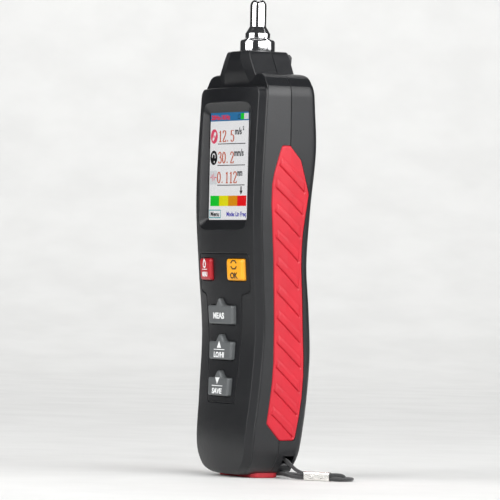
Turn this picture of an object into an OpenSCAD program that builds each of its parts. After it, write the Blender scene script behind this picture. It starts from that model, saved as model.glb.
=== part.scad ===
// Handheld vibration meter: a two-shell casing with a sprung keypad, a colour
// display, side grips, a battery door, a screw-in probe and a wrist strap.
// It stands on its bottom pad. +Z runs up the probe, the display faces -Y.

/* [Casing] */
// Height of the casing up to its shoulders
body_h = 185; // [180:1:190]
// Greatest width of the casing
body_w = 62; // [61:0.5:63]
// Depth that the front and rear profiles are shares of
body_d = 32.6; // [32.2:0.2:33]
// Wall thickness of the two shells
wall = 2.2; // [2:0.1:2.4]
// Height of the bezel above the rim that runs round it
rim_drop = 3.3; // [2.8:0.1:3.6]
// Rise of the bezel's middle above its edges
crown = 2.8; // [2.4:0.1:3]
// Height of the casing's underside above the ground
base_gap = 1.2; // [1:0.1:1.6]

/* [Display] */
// Visible width of the display
screen_w = 37.4; // [36:0.2:38]
// Visible height of the display
screen_h = 49.4; // [48:0.2:50]
// Height of the display's centre
screen_z = 142.5; // [141:0.5:144]
// Depth of the window's outer face in front of the probe's axis
screen_y = 13.5; // [13.3:0.1:13.7]

/* [Keys] */
// How far the three lower keys stand proud of the casing
key_proud = 2; // [1.6:0.1:2.2]
// How far the two upper keys stand proud of the casing
upper_proud = 1.6; // [1.4:0.1:1.7]
// Travel of every key
key_travel = 0.6; // [0.4:0.1:0.7]
// Gap round each key
key_gap = 0.2; // [0.15:0.05:0.3]

/* [Probe] */
// Radius of the probe's collar
collar_r = 8.1; // [7.8:0.1:8.4]
// Radius of the probe's rod
rod_r = 3.8; // [3.5:0.1:4.2]
// Length of the probe's rod
rod_l = 9.4; // [8:0.2:12]

/* [Hidden] */
$fn = 48;

part_y = 1.3;            // plane where the two shells meet
top_r = 11;              // radius of the casing's shoulders, seen from the front
bottom_r = 13;           // radius of its bottom corners
top_edge = 1.6;          // rounding of its top towards front and rear
bottom_edge = 4;         // rounding of its bottom towards front and rear
bezel_top = body_h - 6.3;
bezel_r = 4.5;           // radius of the bezel's upper corners
side_rim = 3.3;          // width of the rim beside the bezel
rear_r = 4.6;            // radius along the rear edges
draft = 0.9;             // lean of the rear half of each side
big = 100;               // longer than any part of the casing is wide
fit = 0.1;               // clearance between pieces that fit together

// Shapes of the casing, as [share of the height, share of the width or depth]
width_shape = [[0, .79], [.10, .855], [.22, .905], [.36, .935], [.52, .965], [.67, .993], [.82, 1], [1, .99]];
front_shape = [[0, .425], [.09, .456], [.195, .412], [.357, .366], [.52, .428], [.67, .475], [.82, .459],
    [1, .412]];
rear_shape = [[0, .398], [.108, .479], [.22, .529], [.314, .541], [.42, .495], [.53, .434], [.67, .463],
    [.81, .53], [.92, .5], [1, .47]];
crown_shape = [[0, .5], [.2, .75], [.4, 1], [1, 1]];

// ---------- curves ----------

function slope(t, i) =
    let (a = max(i - 1, 0), b = min(i + 1, len(t) - 1)) (t[b][1] - t[a][1]) / (t[b][0] - t[a][0]);

// Smooth curve through the points of table t, read at x
function curve(t, x, i = 0) =
    x <= t[0][0] ? t[0][1] + slope(t, 0) * (x - t[0][0]) :
    i == len(t) - 1 ? t[i][1] + slope(t, i) * (x - t[i][0]) :
    x > t[i + 1][0] ? curve(t, x, i + 1) :
    let (h = t[i + 1][0] - t[i][0], s = (x - t[i][0]) / h)
    (1 + 2 * s) * pow(1 - s, 2) * t[i][1] + s * pow(1 - s, 2) * h * slope(t, i)
        + s * s * (3 - 2 * s) * t[i + 1][1] + s * s * (s - 1) * h * slope(t, i + 1);

// How far a corner of radius r, ending at height end, cuts in at height z
function cut_in(r, depth) = depth >= r ? 0 : r - sqrt(max(0, r * r - pow(r - max(depth, 0), 2)));

function half_width(z, g) =
    body_w / 2 * curve(width_shape, z / body_h) - g
        - cut_in(top_r - g, body_h - g - z) - cut_in(bottom_r - g, z - base_gap - g);

function end_cut(z, g) = cut_in(top_edge, body_h - g - z) + cut_in(bottom_edge, z - base_gap - g);

// Share of the bezel's height that stands at height z
function bezel_share(z, g) = min(1, max(0, (bezel_top - g + 0.4 - z) / 0.9));

function bezel_half(z, g) =
    min(half_width(z, g) - side_rim,
        body_w / 2 - g - side_rim - cut_in(bezel_r, bezel_top - g - min(z, bezel_top - g)));

function rim_y(z, g) = body_d * curve(front_shape, z / body_h) - rim_drop - g - end_cut(z, g);
function bezel_y(z, g) = rim_y(z, g) + rim_drop * bezel_share(z, g);
function rear_y(z, g) = body_d * curve(rear_shape, z / body_h) - g - end_cut(z, g);

function crown_y(z) = crown * curve(crown_shape, z / body_h);

// Front face of the casing at (x, z), as a depth in front of the probe's axis
function face_y(x, z, g = 0) = bezel_y(z, g) + crown_y(z) * (1 - pow(x / bezel_half(z, g), 2));

// Right half of the casing's section at height z, shrunk by g, from front to rear
function half_section(z, g) =
    let (
        b = bezel_half(z, g), f = bezel_y(z, g), r = rim_y(z, g), w = half_width(z, g),
        c = crown_y(z) * bezel_share(z, g), e = rear_y(z, g), rr = rear_r - max(g, 0) * 0.6
    )
    [
        for (s = [0, .36, .7]) [s * b, -f - c * (1 - s * s)],
        [b - 0.5, -f - 0.1 * bezel_share(z, g)],
        [b, -f + 0.5 * bezel_share(z, g)],
        [b + 1.3, -r - 0.2 * bezel_share(z, g)],
        [w - 1.2, -r],
        [w - 0.35, -r + 0.35],
        [w, -r + 1.2],
        [w, part_y],
        for (a = [0, 30, 60, 90]) [w - draft - rr * (1 - cos(a)), e - 0.5 - rr * (1 - sin(a))],
        [w * 0.4, e - 0.1],
        [0, e]
    ];

function section(z, g) =
    let (h = half_section(z, g), n = len(h))
    [for (p = h) [p[0], p[1], z], for (i = [n - 2:-1:1]) [-h[i][0], h[i][1], z]];

// Heights of the casing's rings between low and high, closer together round its ends
function ring_heights(g, low, high) =
    let (
        bottom = base_gap + g, top = body_h - g,
        all = [
            for (a = [0:18:90]) bottom + (bottom_r - g) * (1 - cos(a)),
            for (i = [1:15]) bottom + bottom_r + i * (bezel_top - 9 - bottom - bottom_r) / 16,
            for (a = [0:22:88]) bezel_top - g - 9 + 9 * sin(a),
            bezel_top - g + 0.5,
            for (a = [62, 74, 83, 90]) top - (top_r - g) * (1 - sin(a))
        ]
    )
    [if (low > bottom) low, for (z = all) if (z > low + 0.2 && z < high - 0.2) z, if (high < top) high];

// A closed skin over rings that all have the same number of points
module loft(rings) {
    n = len(rings[0]);
    m = len(rings);
    middle = [for (r = [rings[0], rings[m - 1]]) [for (p = r) 1] * r / n];
    polyhedron(
        points = [for (r = rings) each r, each middle],
        faces = [
            for (i = [0:n - 1]) let (k = (i + 1) % n) each [[n * m, i, k], [n * m + 1, (m - 1) * n + k, (m - 1) * n + i]],
            for (j = [0:m - 2], i = [0:n - 1])
                let (a = j * n + i, b = j * n + (i + 1) % n, c = b + n, d = a + n)
                each [[a, c, b], [a, d, c]]
        ]
    );
}

// The casing's outer form shrunk by g, or grown where g is negative
module form(g = 0, low = -big, high = 2 * big) {
    loft([for (z = ring_heights(g, low, high)) section(z, g)]);
}

// ---------- outlines ----------

// The polygon pts with its corners rounded to radius r
function rounded(pts, r, steps = 4) = [
    for (i = [0:len(pts) - 1])
        let (
            p = pts[i], a = pts[(i + len(pts) - 1) % len(pts)] - p, b = pts[(i + 1) % len(pts)] - p,
            u = a / norm(a), v = b / norm(b), half = acos(u * v) / 2,
            c = p + (u + v) / norm(u + v) * r / sin(half),
            from = p + u * r / tan(half) - c, to = p + v * r / tan(half) - c,
            start = atan2(from[1], from[0]), turn = atan2(to[1], to[0]) - start,
            sweep = turn > 180 ? turn - 360 : turn < -180 ? turn + 360 : turn
        )
        for (k = [0:steps]) c + r * [cos(start + sweep * k / steps), sin(start + sweep * k / steps)]
];

function mirrored(pts) = [each pts, for (i = [len(pts) - 1:-1:0]) [-pts[i][0], pts[i][1]]];

function box_points(w, low, high) = [[w / 2, low], [w / 2, high], [-w / 2, high], [-w / 2, low]];

// A prism with its outline in the XZ plane, from depth y0 to depth y1
module across(pts, y0, y1) {
    translate([0, y1, 0]) rotate([90, 0, 0]) linear_extrude(y1 - y0) polygon(pts);
}

// A prism with its outline in the YZ plane, from x0 to x1
module sideways(pts, x0, x1) {
    translate([x0, 0, 0]) rotate([90, 0, 90]) linear_extrude(x1 - x0) polygon(pts);
}

module pillar(x, z, r, y0, y1) {
    translate([x, y1, z]) rotate([90, 0, 0]) cylinder(r = r, h = y1 - y0);
}

module block(low, high) {
    translate(low) cube(high - low);
}

// ---------- nose ----------

nose_top = body_h + 10.5;
nose_low = body_h - 7;
neck_r = 5.2;            // radius of the sensor's neck

// The nose's section at each level: [distance below its top, half width of the front facet, half width,
// depth of the front facet, depth of the sides]
nose_shape = [[0, 4.7, 10.5, 11.2, 10], [4, 5.4, 12.9, 12, 10.3], [10.5, 9.8, 16.9, 11.4, 10.2],
    [17.5, 13.5, 21, 9.7, 9.2]];

// The nose's section at height z, shrunk by g
function nose_section(z, g) =
    let (
        n = nose_shape, d = nose_top - z,
        at = function(i) lookup(d, [for (q = n) [q[0], q[i]]]),
        c = at(1) - g * 0.6, w = at(2) - g, f = at(3) - g, fc = at(4) - g
    )
    [for (p = [[c, -f], [w, -fc], [w, fc], [c, f], [-c, f], [-w, fc], [-w, -fc], [-c, -f]]) [p[0], p[1], z]];

module nose(g = 0, low = nose_low) {
    levels = [for (q = [nose_shape[3], nose_shape[2], nose_shape[1]]) if (nose_top - q[0] > low) nose_top - q[0]];
    loft([for (z = concat([low], levels, [nose_top - g])) nose_section(z, g)]);
}

// Lug on the rear of the nose
lug_points = [[8, body_h + 1.5], [13.5, body_h + 2.5], [16, body_h + 4.8], [16.3, body_h + 8.6],
    [15.2, body_h + 9.8], [8, nose_top - 0.3]];

// ---------- grips ----------

grip_in = 1;             // depth of the grips' seats
grip_proud = 0.6;        // how far the grips stand proud
rib_proud = 0.5;         // how far their ribs stand above that
// Outline of a grip seen from the side, as [depth, height]
grip_front = [[-3.1, 151.9], [-4.8, 146.6], [-6.9, 139.2], [-7.8, 134], [-7.8, 125], [-6.9, 113.4], [-5.8, 99.6],
    [-4.9, 84], [-4.2, 69.6], [-3.8, 53.5], [-4.1, 44.3], [-5, 33.7], [-5.9, 25.2], [1.1, 17.5]];
grip_rear = [[9.4, 17.5], [10, 20], [11.2, 28.1], [12.2, 37.3], [12.5, 47.5], [12.2, 56], [11.2, 69.6],
    [10.3, 84], [9.3, 97.3], [9.2, 106.5], [9.5, 112.5], [10.7, 121.3], [12, 130], [7.1, 145.5], [1.1, 151.9]];
grip_middle = [3, 84];
// Lower edge of each rib: [front depth, front height, rear depth, rear height]
ribs = [[-4.1, 142.7, 9.2, 131], [-5.9, 132.8, 8.7, 120.6], [-5.7, 121.7, 7.7, 110.3], [-5, 110, 7.4, 99.2],
    [-4, 97.6, 7.8, 87], [-3.3, 85, 8.9, 74.2], [-2.8, 73.3, 9.7, 62.3], [-2.4, 62, 10.4, 50.9],
    [-2.4, 50.9, 10.3, 39.9], [-2.8, 40.1, 9.7, 29.3], [-3.7, 29.5, 8.3, 19.1]];

function grown(pts, middle, by) = [for (p = pts) p + by * (p - middle) / norm(p - middle)];

module grip_prism(by) {
    sideways(grown([each grip_front, each grip_rear], grip_middle, by), 15, 40);
}

// What the shells lose to the two grips
module grip_seats() {
    for (side = [0, 1]) mirror([side, 0, 0]) difference() {
        grip_prism(fit);
        form(grip_in, 10, 160);
    }
}

module grip() {
    color("crimson") difference() {
        union() {
            intersection() {
                grip_prism(0);
                form(-grip_proud, 12, 156);
            }
            intersection() {
                for (r = ribs)
                    sideways([[r[0], r[1]], [r[2], r[3]], [r[2] + 0.2, r[3] + 4.5], [r[0] + 0.7, r[1] + 3.7]], 20, 40);
                form(-grip_proud - rib_proud, 12, 156);
            }
        }
        form(grip_in - fit, 10, 160);
    }
}

module grip_right() { grip(); }
module grip_left() { mirror([1, 0, 0]) grip(); }

// ---------- keypad ----------

plate_t = 1.4;           // thickness of the key plate
plate_points = [[23.4, 102.4], [23.4, 85], [16.9, 83.6], [12.9, 33.9]];
ledge = 1.2;             // width of the ledge that the key plate lies on
flange = 0.8;            // how far a key's flange reaches past its cap
flange_t = 1;
switch_y = -8.4;         // front face of the key switches
plunger_y = -9.2;        // front end of their plungers at rest
board_y = -5;            // front face of the main board
board_t = 1.6;

// Each key: [middle x, bottom, top, width at the bottom, width at the top, height of its bump, proud,
// whether its bump is round]
power_key = [-14, 90, 99.9, 13, 13, 0, upper_proud, false];
ok_key = [14, 90, 99.9, 13, 13, 0, upper_proud, false];
measure_key = [0, 69.9, 78.5, 22.6, 23.4, 3.2, key_proud, false];
up_key = [0, 53.6, 62, 20.8, 21.6, 3.2, key_proud, true];
down_key = [0, 37, 45.4, 18.8, 19.4, 3.2, key_proud, true];
keys = [power_key, ok_key, measure_key, up_key, down_key];

// Right half of a key's bump, above the key's top edge
pointed_bump = [[3.8, 0], [2.2, 1], [1.3, 2.2], [0.7, 3.2]];
round_bump = [[4.3, 0], [3, 1], [2.2, 2.2], [0.9, 3.2]];

function key_points(k, by) =
    let (
        x = k[0], low = k[1] - by, high = k[2] + by, a = k[3] / 2 + by, b = k[4] / 2 + by,
        bump = k[5] == 0 ? [] : [for (q = k[7] ? round_bump : pointed_bump) [x + q[0] + by, high + q[1]]],
        top = concat(bump, [for (i = [len(bump) - 1:-1:0]) [2 * x - bump[i][0], bump[i][1]]])
    )
    rounded([[x + a, low], [x + b, high], each top, [x - b, high], [x - a, low]], 0.9, 3);

function key_z(k) = (k[1] + k[2]) / 2;

function plate_outline(by) =
    let (p = plate_points) rounded(mirrored([p[0] + [by, by], p[1] + [by, -by], p[2] + [by, -by],
        p[3] + [by, -by]]), 2, 4);

module key_plate() {
    color("#1b1c1f") difference() {
        intersection() {
            across(plate_outline(0), -20, -8);
            form(0, 30, 106);
        }
        form(plate_t, 28, 108);
        for (k = keys) across(key_points(k, key_gap), -22, -5);
    }
}

// A key: a cap that follows the casing's face, a flange behind the plate and a stem
module key(k, shade) {
    low = k[1] - 4;
    high = k[2] + k[5] + 4;
    color(shade) {
        difference() {
            union() {
                intersection() {
                    across(key_points(k, 0), -20, -6);
                    form(-k[6], low, high);
                }
                intersection() {
                    across(key_points(k, flange), -18, -6);
                    form(plate_t + fit, low, high);
                }
            }
            form(plate_t + fit + flange_t, low - 1, high + 1);
        }
        pillar(k[0], key_z(k), 2, -face_y(k[0], key_z(k), 2), plunger_y);
    }
}

module key_power() { key(power_key, "firebrick"); }
module key_ok() { key(ok_key, "orange"); }
module key_measure() { key(measure_key, "dimgray"); }
module key_up() { key(up_key, "dimgray"); }
module key_down() { key(down_key, "dimgray"); }

// ---------- display ----------

screen_low = screen_z - screen_h / 2;
screen_high = screen_z + screen_h / 2;
lip_y = screen_y + 0.5;          // front edge of the lip round the window
window_y = lip_y - 0.2;          // front face of the window
window_t = 0.7;
pocket_y = window_y - window_t - 0.1;
glass_y = pocket_y - 0.2;        // front face of the display's glass
glass_t = 2.2;
glass_low = screen_low - 8.1;
glass_high = screen_high + 2.7;
glass_w = 42.7;
frame_front = 11.4;

function screen_box(w, h, by = 0) =
    [[w / 2 + by, screen_z - h / 2 - by], [w / 2 + by, screen_z + h / 2 + by],
     [-w / 2 - by, screen_z + h / 2 + by], [-w / 2 - by, screen_z - h / 2 - by]];

function window_points(by) = rounded(screen_box(42, 54, by), 1.5);
function glass_points(by) = [[glass_w / 2 + by, glass_low - by], [glass_w / 2 + by, glass_high + by],
    [-glass_w / 2 - by, glass_high + by], [-glass_w / 2 - by, glass_low - by]];

// The bevelled opening in front of the window, carried past the casing's face
module screen_recess() {
    inner = rounded(screen_box(screen_w, screen_h), 1.2, 3);
    outer = rounded(screen_box(screen_w, screen_h, 4.1), 4, 3);
    reach = 1.6;
    loft([
        [for (p = inner) [p[0], -lip_y, p[1]]],
        [for (i = [0:len(inner) - 1])
            let (a = [inner[i][0], -lip_y, inner[i][1]], o = outer[i],
                b = [o[0], -face_y(o[0], o[1]), o[1]])
            a + (b - a) * reach]
    ]);
    across(inner, -lip_y - 0.5, -pocket_y + 1);
}

module display_window() {
    color([0.5, 0.6, 0.65, 0.4]) across(window_points(0), -window_y, -window_y + window_t);
}

module display_gasket() {
    color("#222") difference() {
        across(glass_points(0), -pocket_y, -glass_y);
        across(window_points(0.4), -pocket_y - 1, -glass_y + 1);
    }
}

module display_module() {
    color("#30343a") {
        across(glass_points(0), -glass_y, -glass_y + glass_t);
        across(screen_box(screen_w + 1, screen_h + 1), -glass_y - 0.25, -glass_y);
    }
}

module display_frame() {
    low = glass_low - 1.2;
    high = glass_high + 1.2;
    back = -glass_y + glass_t;
    color("#d8d8d2") difference() {
        block([-22.6, -frame_front, low], [22.6, board_y, high]);
        across(glass_points(0.1), -20, back);
        block([-20.6, back - 1, low + 3], [20.6, back + 1.2, high - 3]);
        block([-21, back + 1.2, low + 1.6], [21, 0, high - 1.6]);
        for (s = [-1, 1]) block([s * 15 - 2, -8, low - 1], [s * 15 + 2, 0, low + 3]);
    }
}

module display_flex() {
    y = -glass_y + 0.9;
    color("#c98a2b") sideways([[y, glass_low], [y, 105.2], [-6.9, 105.2], [-6.9, 103.6], [-6.6, 103.6],
        [-6.6, 105.5], [y + 0.3, 105.5], [y + 0.3, glass_low]], -8, 8);
}

// ---------- main board ----------

board_back = board_y + board_t;
board_points = mirrored([[17.5, 27], [19.8, 34], [19.8, 84], [23.4, 88], [23.4, 166], [20, 170]]);
post_spots = [for (p = [[16.4, 31], [17.8, 65], [20.2, 105.2]], s = [-1, 1]) [s * p[0], p[1]]];

module main_board() {
    color("#1f6b3a") difference() {
        across(board_points, board_y, board_back);
        for (p = post_spots) pillar(p[0], p[1], 1.05, -9, 0);
    }
}

module board_chips() {
    color("#2a2a2c") {
        block([-9, -6.4, 100.5], [9, board_y, 103.6]);
        block([-5, -6, 136], [5, board_y, 146]);
        block([-16, -6.2, 126], [-11, board_y, 131]);
        block([9, -7, 150], [15, board_y, 156]);
        for (k = [0:5]) block([-15 + 5 * k, -5.6, 118], [-13 + 5 * k, board_y, 119.2]);
        block([-3, board_back, 162], [3, -1.9, 165]);
        block([-14, board_back, 112], [-8, -1.6, 118]);
        block([6, board_back, 108], [13, -1.4, 115]);
        block([-6, board_back, 128], [2, -2.2, 136]);
        for (k = [0:4]) block([-16 + 7 * k, board_back, 96], [-14 + 7 * k, -2.6, 97.2]);
    }
}

module board_screws() {
    color("silver") for (p = post_spots) {
        pillar(p[0], p[1], 1.9, board_back, board_back + 1.3);
        pillar(p[0], p[1], 0.95, -9, board_back);
    }
}

module buzzer() {
    color("#18181a") difference() {
        pillar(12, 150, 4.5, board_back, board_back + 3);
        pillar(12, 150, 1, board_back + 1.5, 5);
    }
}

module key_switches() {
    color("#3a3a3e") for (k = keys) difference() {
        block([k[0] - 3, switch_y, key_z(k) - 3], [k[0] + 3, board_y, key_z(k) + 3]);
        pillar(k[0], key_z(k), 1.7, switch_y - 1, -5.5);
    }
}

module plunger(k) {
    color("#e8e4da") pillar(k[0], key_z(k), 1.6, plunger_y, -6.2);
}

module plunger_power() { plunger(power_key); }
module plunger_ok() { plunger(ok_key); }
module plunger_measure() { plunger(measure_key); }
module plunger_up() { plunger(up_key); }
module plunger_down() { plunger(down_key); }

// ---------- battery compartment ----------

cell_r = 5.25;
cell_l = 44.5;
cell_y = 7.2;
cell_x = [-11.2, 0, 11.2];
pocket_low = 20;
pocket_high = 67.8;
pocket_half = 16.8;
tray_y = 0.2;
plate_metal = 0.4;
spring_l = pocket_high - pocket_low - 2 * plate_metal - cell_l;
door_half = 18.6;
door_low = 17;
door_high = 70.4;
door_t = 2;
pivot_y = 13;            // hinge line of the battery door
pivot_z = 13.6;
barrel_r = 1.4;
swing_r = 4.4;           // how far the door's lower corners stay from the hinge line
barrel_half = 15;

// The middle cell stands the other way up
function flipped(x) = x == 0;

module batteries() {
    color("#3f7d4a") for (x = cell_x) {
        low = pocket_low + plate_metal + (flipped(x) ? 0 : spring_l);
        translate([x, cell_y, low + (flipped(x) ? 0.9 : 0)]) cylinder(r = cell_r, h = cell_l - 0.9);
        translate([x, cell_y, low + (flipped(x) ? 0 : cell_l - 0.9)]) cylinder(r = 1.9, h = 0.9);
    }
}

// A conical spring of wire, wound upwards from its wide end
module cone_spring(h) {
    wire = 0.25;
    turns = 2;
    steps = 20;
    loft([for (i = [0:steps])
        let (a = 360 * turns * i / steps, r = 3.8 - 1.5 * i / steps, z = wire + (h - 2 * wire) * i / steps)
        [for (k = [0:4]) let (b = -72 * k)
            [(r + wire * cos(b)) * cos(a), (r + wire * cos(b)) * sin(a), z + wire * sin(b) ]]]);
}

module battery_springs() {
    color("silver") for (x = cell_x)
        translate([x, cell_y, flipped(x) ? pocket_high - plate_metal : pocket_low + plate_metal])
            mirror([0, 0, flipped(x) ? 1 : 0]) cone_spring(spring_l);
}

module battery_plates() {
    color("#d9c27a") for (end = [0, 1]) {
        z = end == 0 ? pocket_low : pocket_high - plate_metal;
        wide = end == 0 ? -1 : 1;
        block([wide < 0 ? -15.8 : -4.6, 2.6, z], [wide < 0 ? 4.6 : 15.8, 11.8, z + plate_metal]);
        block([wide < 0 ? 6.6 : -15.8, 2.6, z], [wide < 0 ? 15.8 : -6.6, 11.8, z + plate_metal]);
    }
}

// Outline of the battery door or, grown by a gap, of its opening
function door_points(by) = rounded([[door_half + by, door_low - by], [door_half + by, door_high + by],
    [-door_half - by, door_high + by], [-door_half - by, door_low - by]], 1.5, 3);

// A rod of radius r along the hinge line
module rail(r, half) {
    translate([-half, pivot_y, pivot_z]) rotate([0, 90, 0]) cylinder(r = r, h = 2 * half);
}

module battery_door() {
    color("#26282c") difference() {
        union() {
            difference() {
                intersection() {
                    across(door_points(0), 8, 22);
                    form(0, 11, 74);
                }
                form(door_t, 8, 76);
                for (s = [-1, 1]) translate([s * (barrel_half + 5), 0, 0]) rail(swing_r, 5);
            }
            rail(barrel_r, barrel_half);
            block([-barrel_half, pivot_y, pivot_z], [barrel_half, pivot_y + 1.2, door_low + 1]);
            intersection() {
                block([-barrel_half, pivot_y, pivot_z + 2], [barrel_half, 18, door_low + 2]);
                form(0, 11, 74);
            }
        }
        rail(0.65, 20);
        for (k = [0:3]) translate([0, rear_y(64 - 2 * k, 0) + 1.2, 65 - 2 * k]) rotate([0, 90, 0])
            cylinder(r = 1.7, h = 12, center = true);
    }
}

module door_pin() {
    color("silver") rail(0.6, barrel_half + 1.4);
}

// ---------- shells ----------

screw_spots = [for (p = [[15, 177], [22.8, 78]], s = [-1, 1]) [s * p[0], p[1]]];
head_y = 6.5;            // seat of the casing screws' heads
bar_x = 17.5;            // strap bar
bar_z = 5.7;
bar_r = 2.7;

module outside() {
    form();
    nose();
}

module inside() {
    form(wall);
}

module front_shell() {
    color("#26282c") difference() {
        union() {
            difference() {
                intersection() {
                    outside();
                    translate([-big, -big, -big]) cube([2 * big, big + part_y, 4 * big]);
                }
                inside();
            }
            intersection() {
                union() {
                    for (p = screw_spots) pillar(p[0], p[1], 2.6, -14, part_y);
                    for (p = post_spots) pillar(p[0], p[1], 1.9, -14.5, board_y);
                    across(box_points(48, screen_low - 6.4, screen_high + 6.4), -20, 0.2 - lip_y + 2);
                }
                form(1);
            }
        }
        translate([0, 0, body_h - 4]) cylinder(r = neck_r + 0.1, h = 20);
        screen_recess();
        across(window_points(0.1), -window_y, -10);
        across(glass_points(0.15), -pocket_y, -8);
        difference() {
            across(plate_outline(fit), -20, -8);
            form(plate_t, 28, 108);
        }
        across(plate_outline(-ledge), -20, -8);
        grip_seats();
        for (p = screw_spots) pillar(p[0], p[1], 1.2, -8, 2);
        for (p = post_spots) pillar(p[0], p[1], 1, -9.4, 0);
        pad(0.05, 1);
    }
}

module rear_shell() {
    color("#26282c") difference() {
        union() {
            difference() {
                intersection() {
                    union() {
                        outside();
                        sideways(lug_points, -4, 4);
                    }
                    translate([-big, part_y, -big]) cube([2 * big, big, 4 * big]);
                }
                inside();
            }
            intersection() {
                union() {
                    for (p = screw_spots) pillar(p[0], p[1], 3.2, part_y, 20);
                    block([-20.4, tray_y, 16], [20.4, 20, 72.6]);
                    block([-barrel_half - 1.5, 9.4, 9], [barrel_half + 1.5, 20, 17]);
                    block([11, part_y, 0], [29, 13, 13]);
                }
                form(0.8);
            }
        }
        translate([0, 0, body_h - 4]) cylinder(r = neck_r + 0.1, h = 20);
        block([-pocket_half, tray_y + 1.2, pocket_low], [pocket_half, 30, pocket_high]);
        difference() {
            across(door_points(0.2), 8, 30);
            form(door_t + 0.1, 8, 76);
        }
        rail(2.4, barrel_half + 0.2);
        block([-barrel_half - 0.2, pivot_y - 0.3, pivot_z], [barrel_half + 0.2, 20, door_low + 2.2]);
        rail(0.62, barrel_half + 1.4);
        for (p = screw_spots) {
            pillar(p[0], p[1], 1.2, 0, 10);
            pillar(p[0], p[1], 2.3, head_y, 30);
        }
        block([12.8, 4.6, -1], [40, 10.4, 10.4]);
        strap_bar_rod(bar_r + 0.02);
        grip_seats();
        pad(0.05, 1);
    }
}

module case_screws() {
    color("#9a9da2") for (p = screw_spots) difference() {
        union() {
            pillar(p[0], p[1], 2.1, head_y, head_y + 1.8);
            pillar(p[0], p[1], 1.15, -6, head_y);
        }
        for (turn = [0, 90]) translate([p[0], head_y + 1.8, p[1]]) rotate([0, turn, 0])
            cube([2.6, 1.6, 0.6], center = true);
    }
}

pad_t = 2.4;

module pad(by, deeper = 0) {
    pts = rounded([[17 + by, -7 - by], [17 + by, 7 + by], [-17 - by, 7 + by], [-17 - by, -7 - by]], 3.5);
    translate([0, 0, -deeper]) linear_extrude(pad_t + deeper) polygon(pts);
}

module bottom_pad() {
    color("crimson") pad(0);
}

// ---------- sensor and probe ----------

collar_low = nose_top;
collar_high = nose_top + 6.2;
chamber_r = 3.9;
chamber_low = body_h - 12;
chamber_high = body_h + 6.8;
stud_r = 2.4;
stud_low = nose_top + 0.6;

// Turns an outline of [radius, height] points about the probe's axis
module turned(pts) {
    rotate_extrude() polygon(pts);
}

module sensor_housing() {
    color("silver") difference() {
        turned([[0, chamber_low], [neck_r, chamber_low], [neck_r, collar_low], [collar_r, collar_low],
            [collar_r, collar_high - 1.7], [collar_r - 0.35, collar_high - 0.9], [collar_r - 1.6, collar_high],
            [0, collar_high]]);
        translate([0, 0, chamber_low - 1]) cylinder(r = chamber_r, h = chamber_high - chamber_low + 1);
        translate([0, 0, stud_low]) cylinder(r = stud_r + 0.05, h = 20);
        translate([0, 0, chamber_high - 1]) cylinder(r = 1.22, h = stud_low - chamber_high - 0.6 + 1);
        turned([[6.1, collar_low - 1], [7.1, collar_low - 1], [7.1, collar_low + 0.9], [6.1, collar_low + 0.9]]);
    }
}

module sensor_seal() {
    color("#111") turned([[6.2, collar_low], [7, collar_low], [7, collar_low + 0.9], [6.2, collar_low + 0.9]]);
}

module sensor_nut() {
    color("silver") difference() {
        translate([0, 0, body_h - wall - 3.7]) cylinder(r = 7.2, h = 3.6, $fn = 6);
        translate([0, 0, body_h - wall - 5]) cylinder(r = neck_r + 0.02, h = 8);
    }
}

module sensor_plug() {
    color("#333") difference() {
        translate([0, 0, chamber_low]) cylinder(r = chamber_r - 0.03, h = 2);
        block([-2, -0.2, chamber_low - 1], [2, 0.2, chamber_low + 4]);
    }
}

module piezo_rings() {
    color("#e6ddc4") for (z = [0, 1.5])
        turned([[1.4, chamber_high - 3 + z], [3.4, chamber_high - 3 + z], [3.4, chamber_high - 1.5 + z],
            [1.4, chamber_high - 1.5 + z]]);
}

module seismic_mass() {
    color("#8b7d5a") turned([[1.4, chamber_high - 9.5], [3.5, chamber_high - 9.5], [3.5, chamber_high - 3],
        [1.4, chamber_high - 3]]);
}

module stack_bolt() {
    color("silver") {
        translate([0, 0, chamber_high - 11.2]) cylinder(r = 2.4, h = 1.7);
        translate([0, 0, chamber_high - 9.5]) cylinder(r = 1.2, h = 9.5 + stud_low - chamber_high - 0.6);
    }
}

module sensor_lead() {
    z = chamber_low + 2;
    color("#c98a2b") sideways([[-0.15, z], [-0.15, 168.4], [-2.65, 166.6], [-2.65, 165], [-2.35, 165],
        [-2.35, 166.4], [0.15, 168.2], [0.15, z]], -1.8, 1.8);
}

module probe_tip() {
    step_r = 5.8;
    z0 = collar_high;
    z1 = z0 + 2.2;
    z2 = z1 + 3.35;
    z3 = z2 + rod_l;
    tip = [for (a = [0:15:75]) [rod_r - 2.9 * (1 - cos(a)), z3 + 3.2 * sin(a)]];
    end_r = tip[5][0];
    end_z = tip[5][1];
    color("gainsboro") turned([[0, stud_low + 0.5], [stud_r, stud_low + 0.5], [stud_r, z0], [step_r - 0.2, z0],
        [step_r, z0 + 0.2], [step_r, z1], [rod_r, z2], each tip, [0.9, end_z + 0.2], [0.9, end_z + 1.8],
        [0.5, end_z + 2.4], [0, end_z + 2.4]]);
}

// ---------- wrist strap ----------

strap_r = 0.85;          // radius of the strap's braid
wrap_r = bar_r + strap_r + 0.05;
crimp_at = [37.3, 9];    // end of the crimp nearer the casing
crimp_turn = 35;         // its direction, from +X towards +Y
crimp_l = 12.6;
high_z = 3;              // heights of the two strands inside the crimp
low_z = 1.15;
floor_z = 0.95;          // height of the braid where it lies on the ground

module strap_bar_rod(r) {
    pillar(bar_x, bar_z, r, 3, 11.6);
}

module strap_bar() {
    color("silver") strap_bar_rod(bar_r);
}

// The point on the smooth curve through the points p that is t points along it
function way(p, t) =
    let (i = min(floor(t), len(p) - 2), s = t - i,
        a = p[max(i - 1, 0)], b = p[i], c = p[i + 1], d = p[min(i + 2, len(p) - 1)])
    (b * 2 + (c - a) * s + (a * 2 - b * 5 + c * 4 - d) * s * s + (b * 3 - a - c * 3 + d) * s * s * s) / 2;

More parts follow.
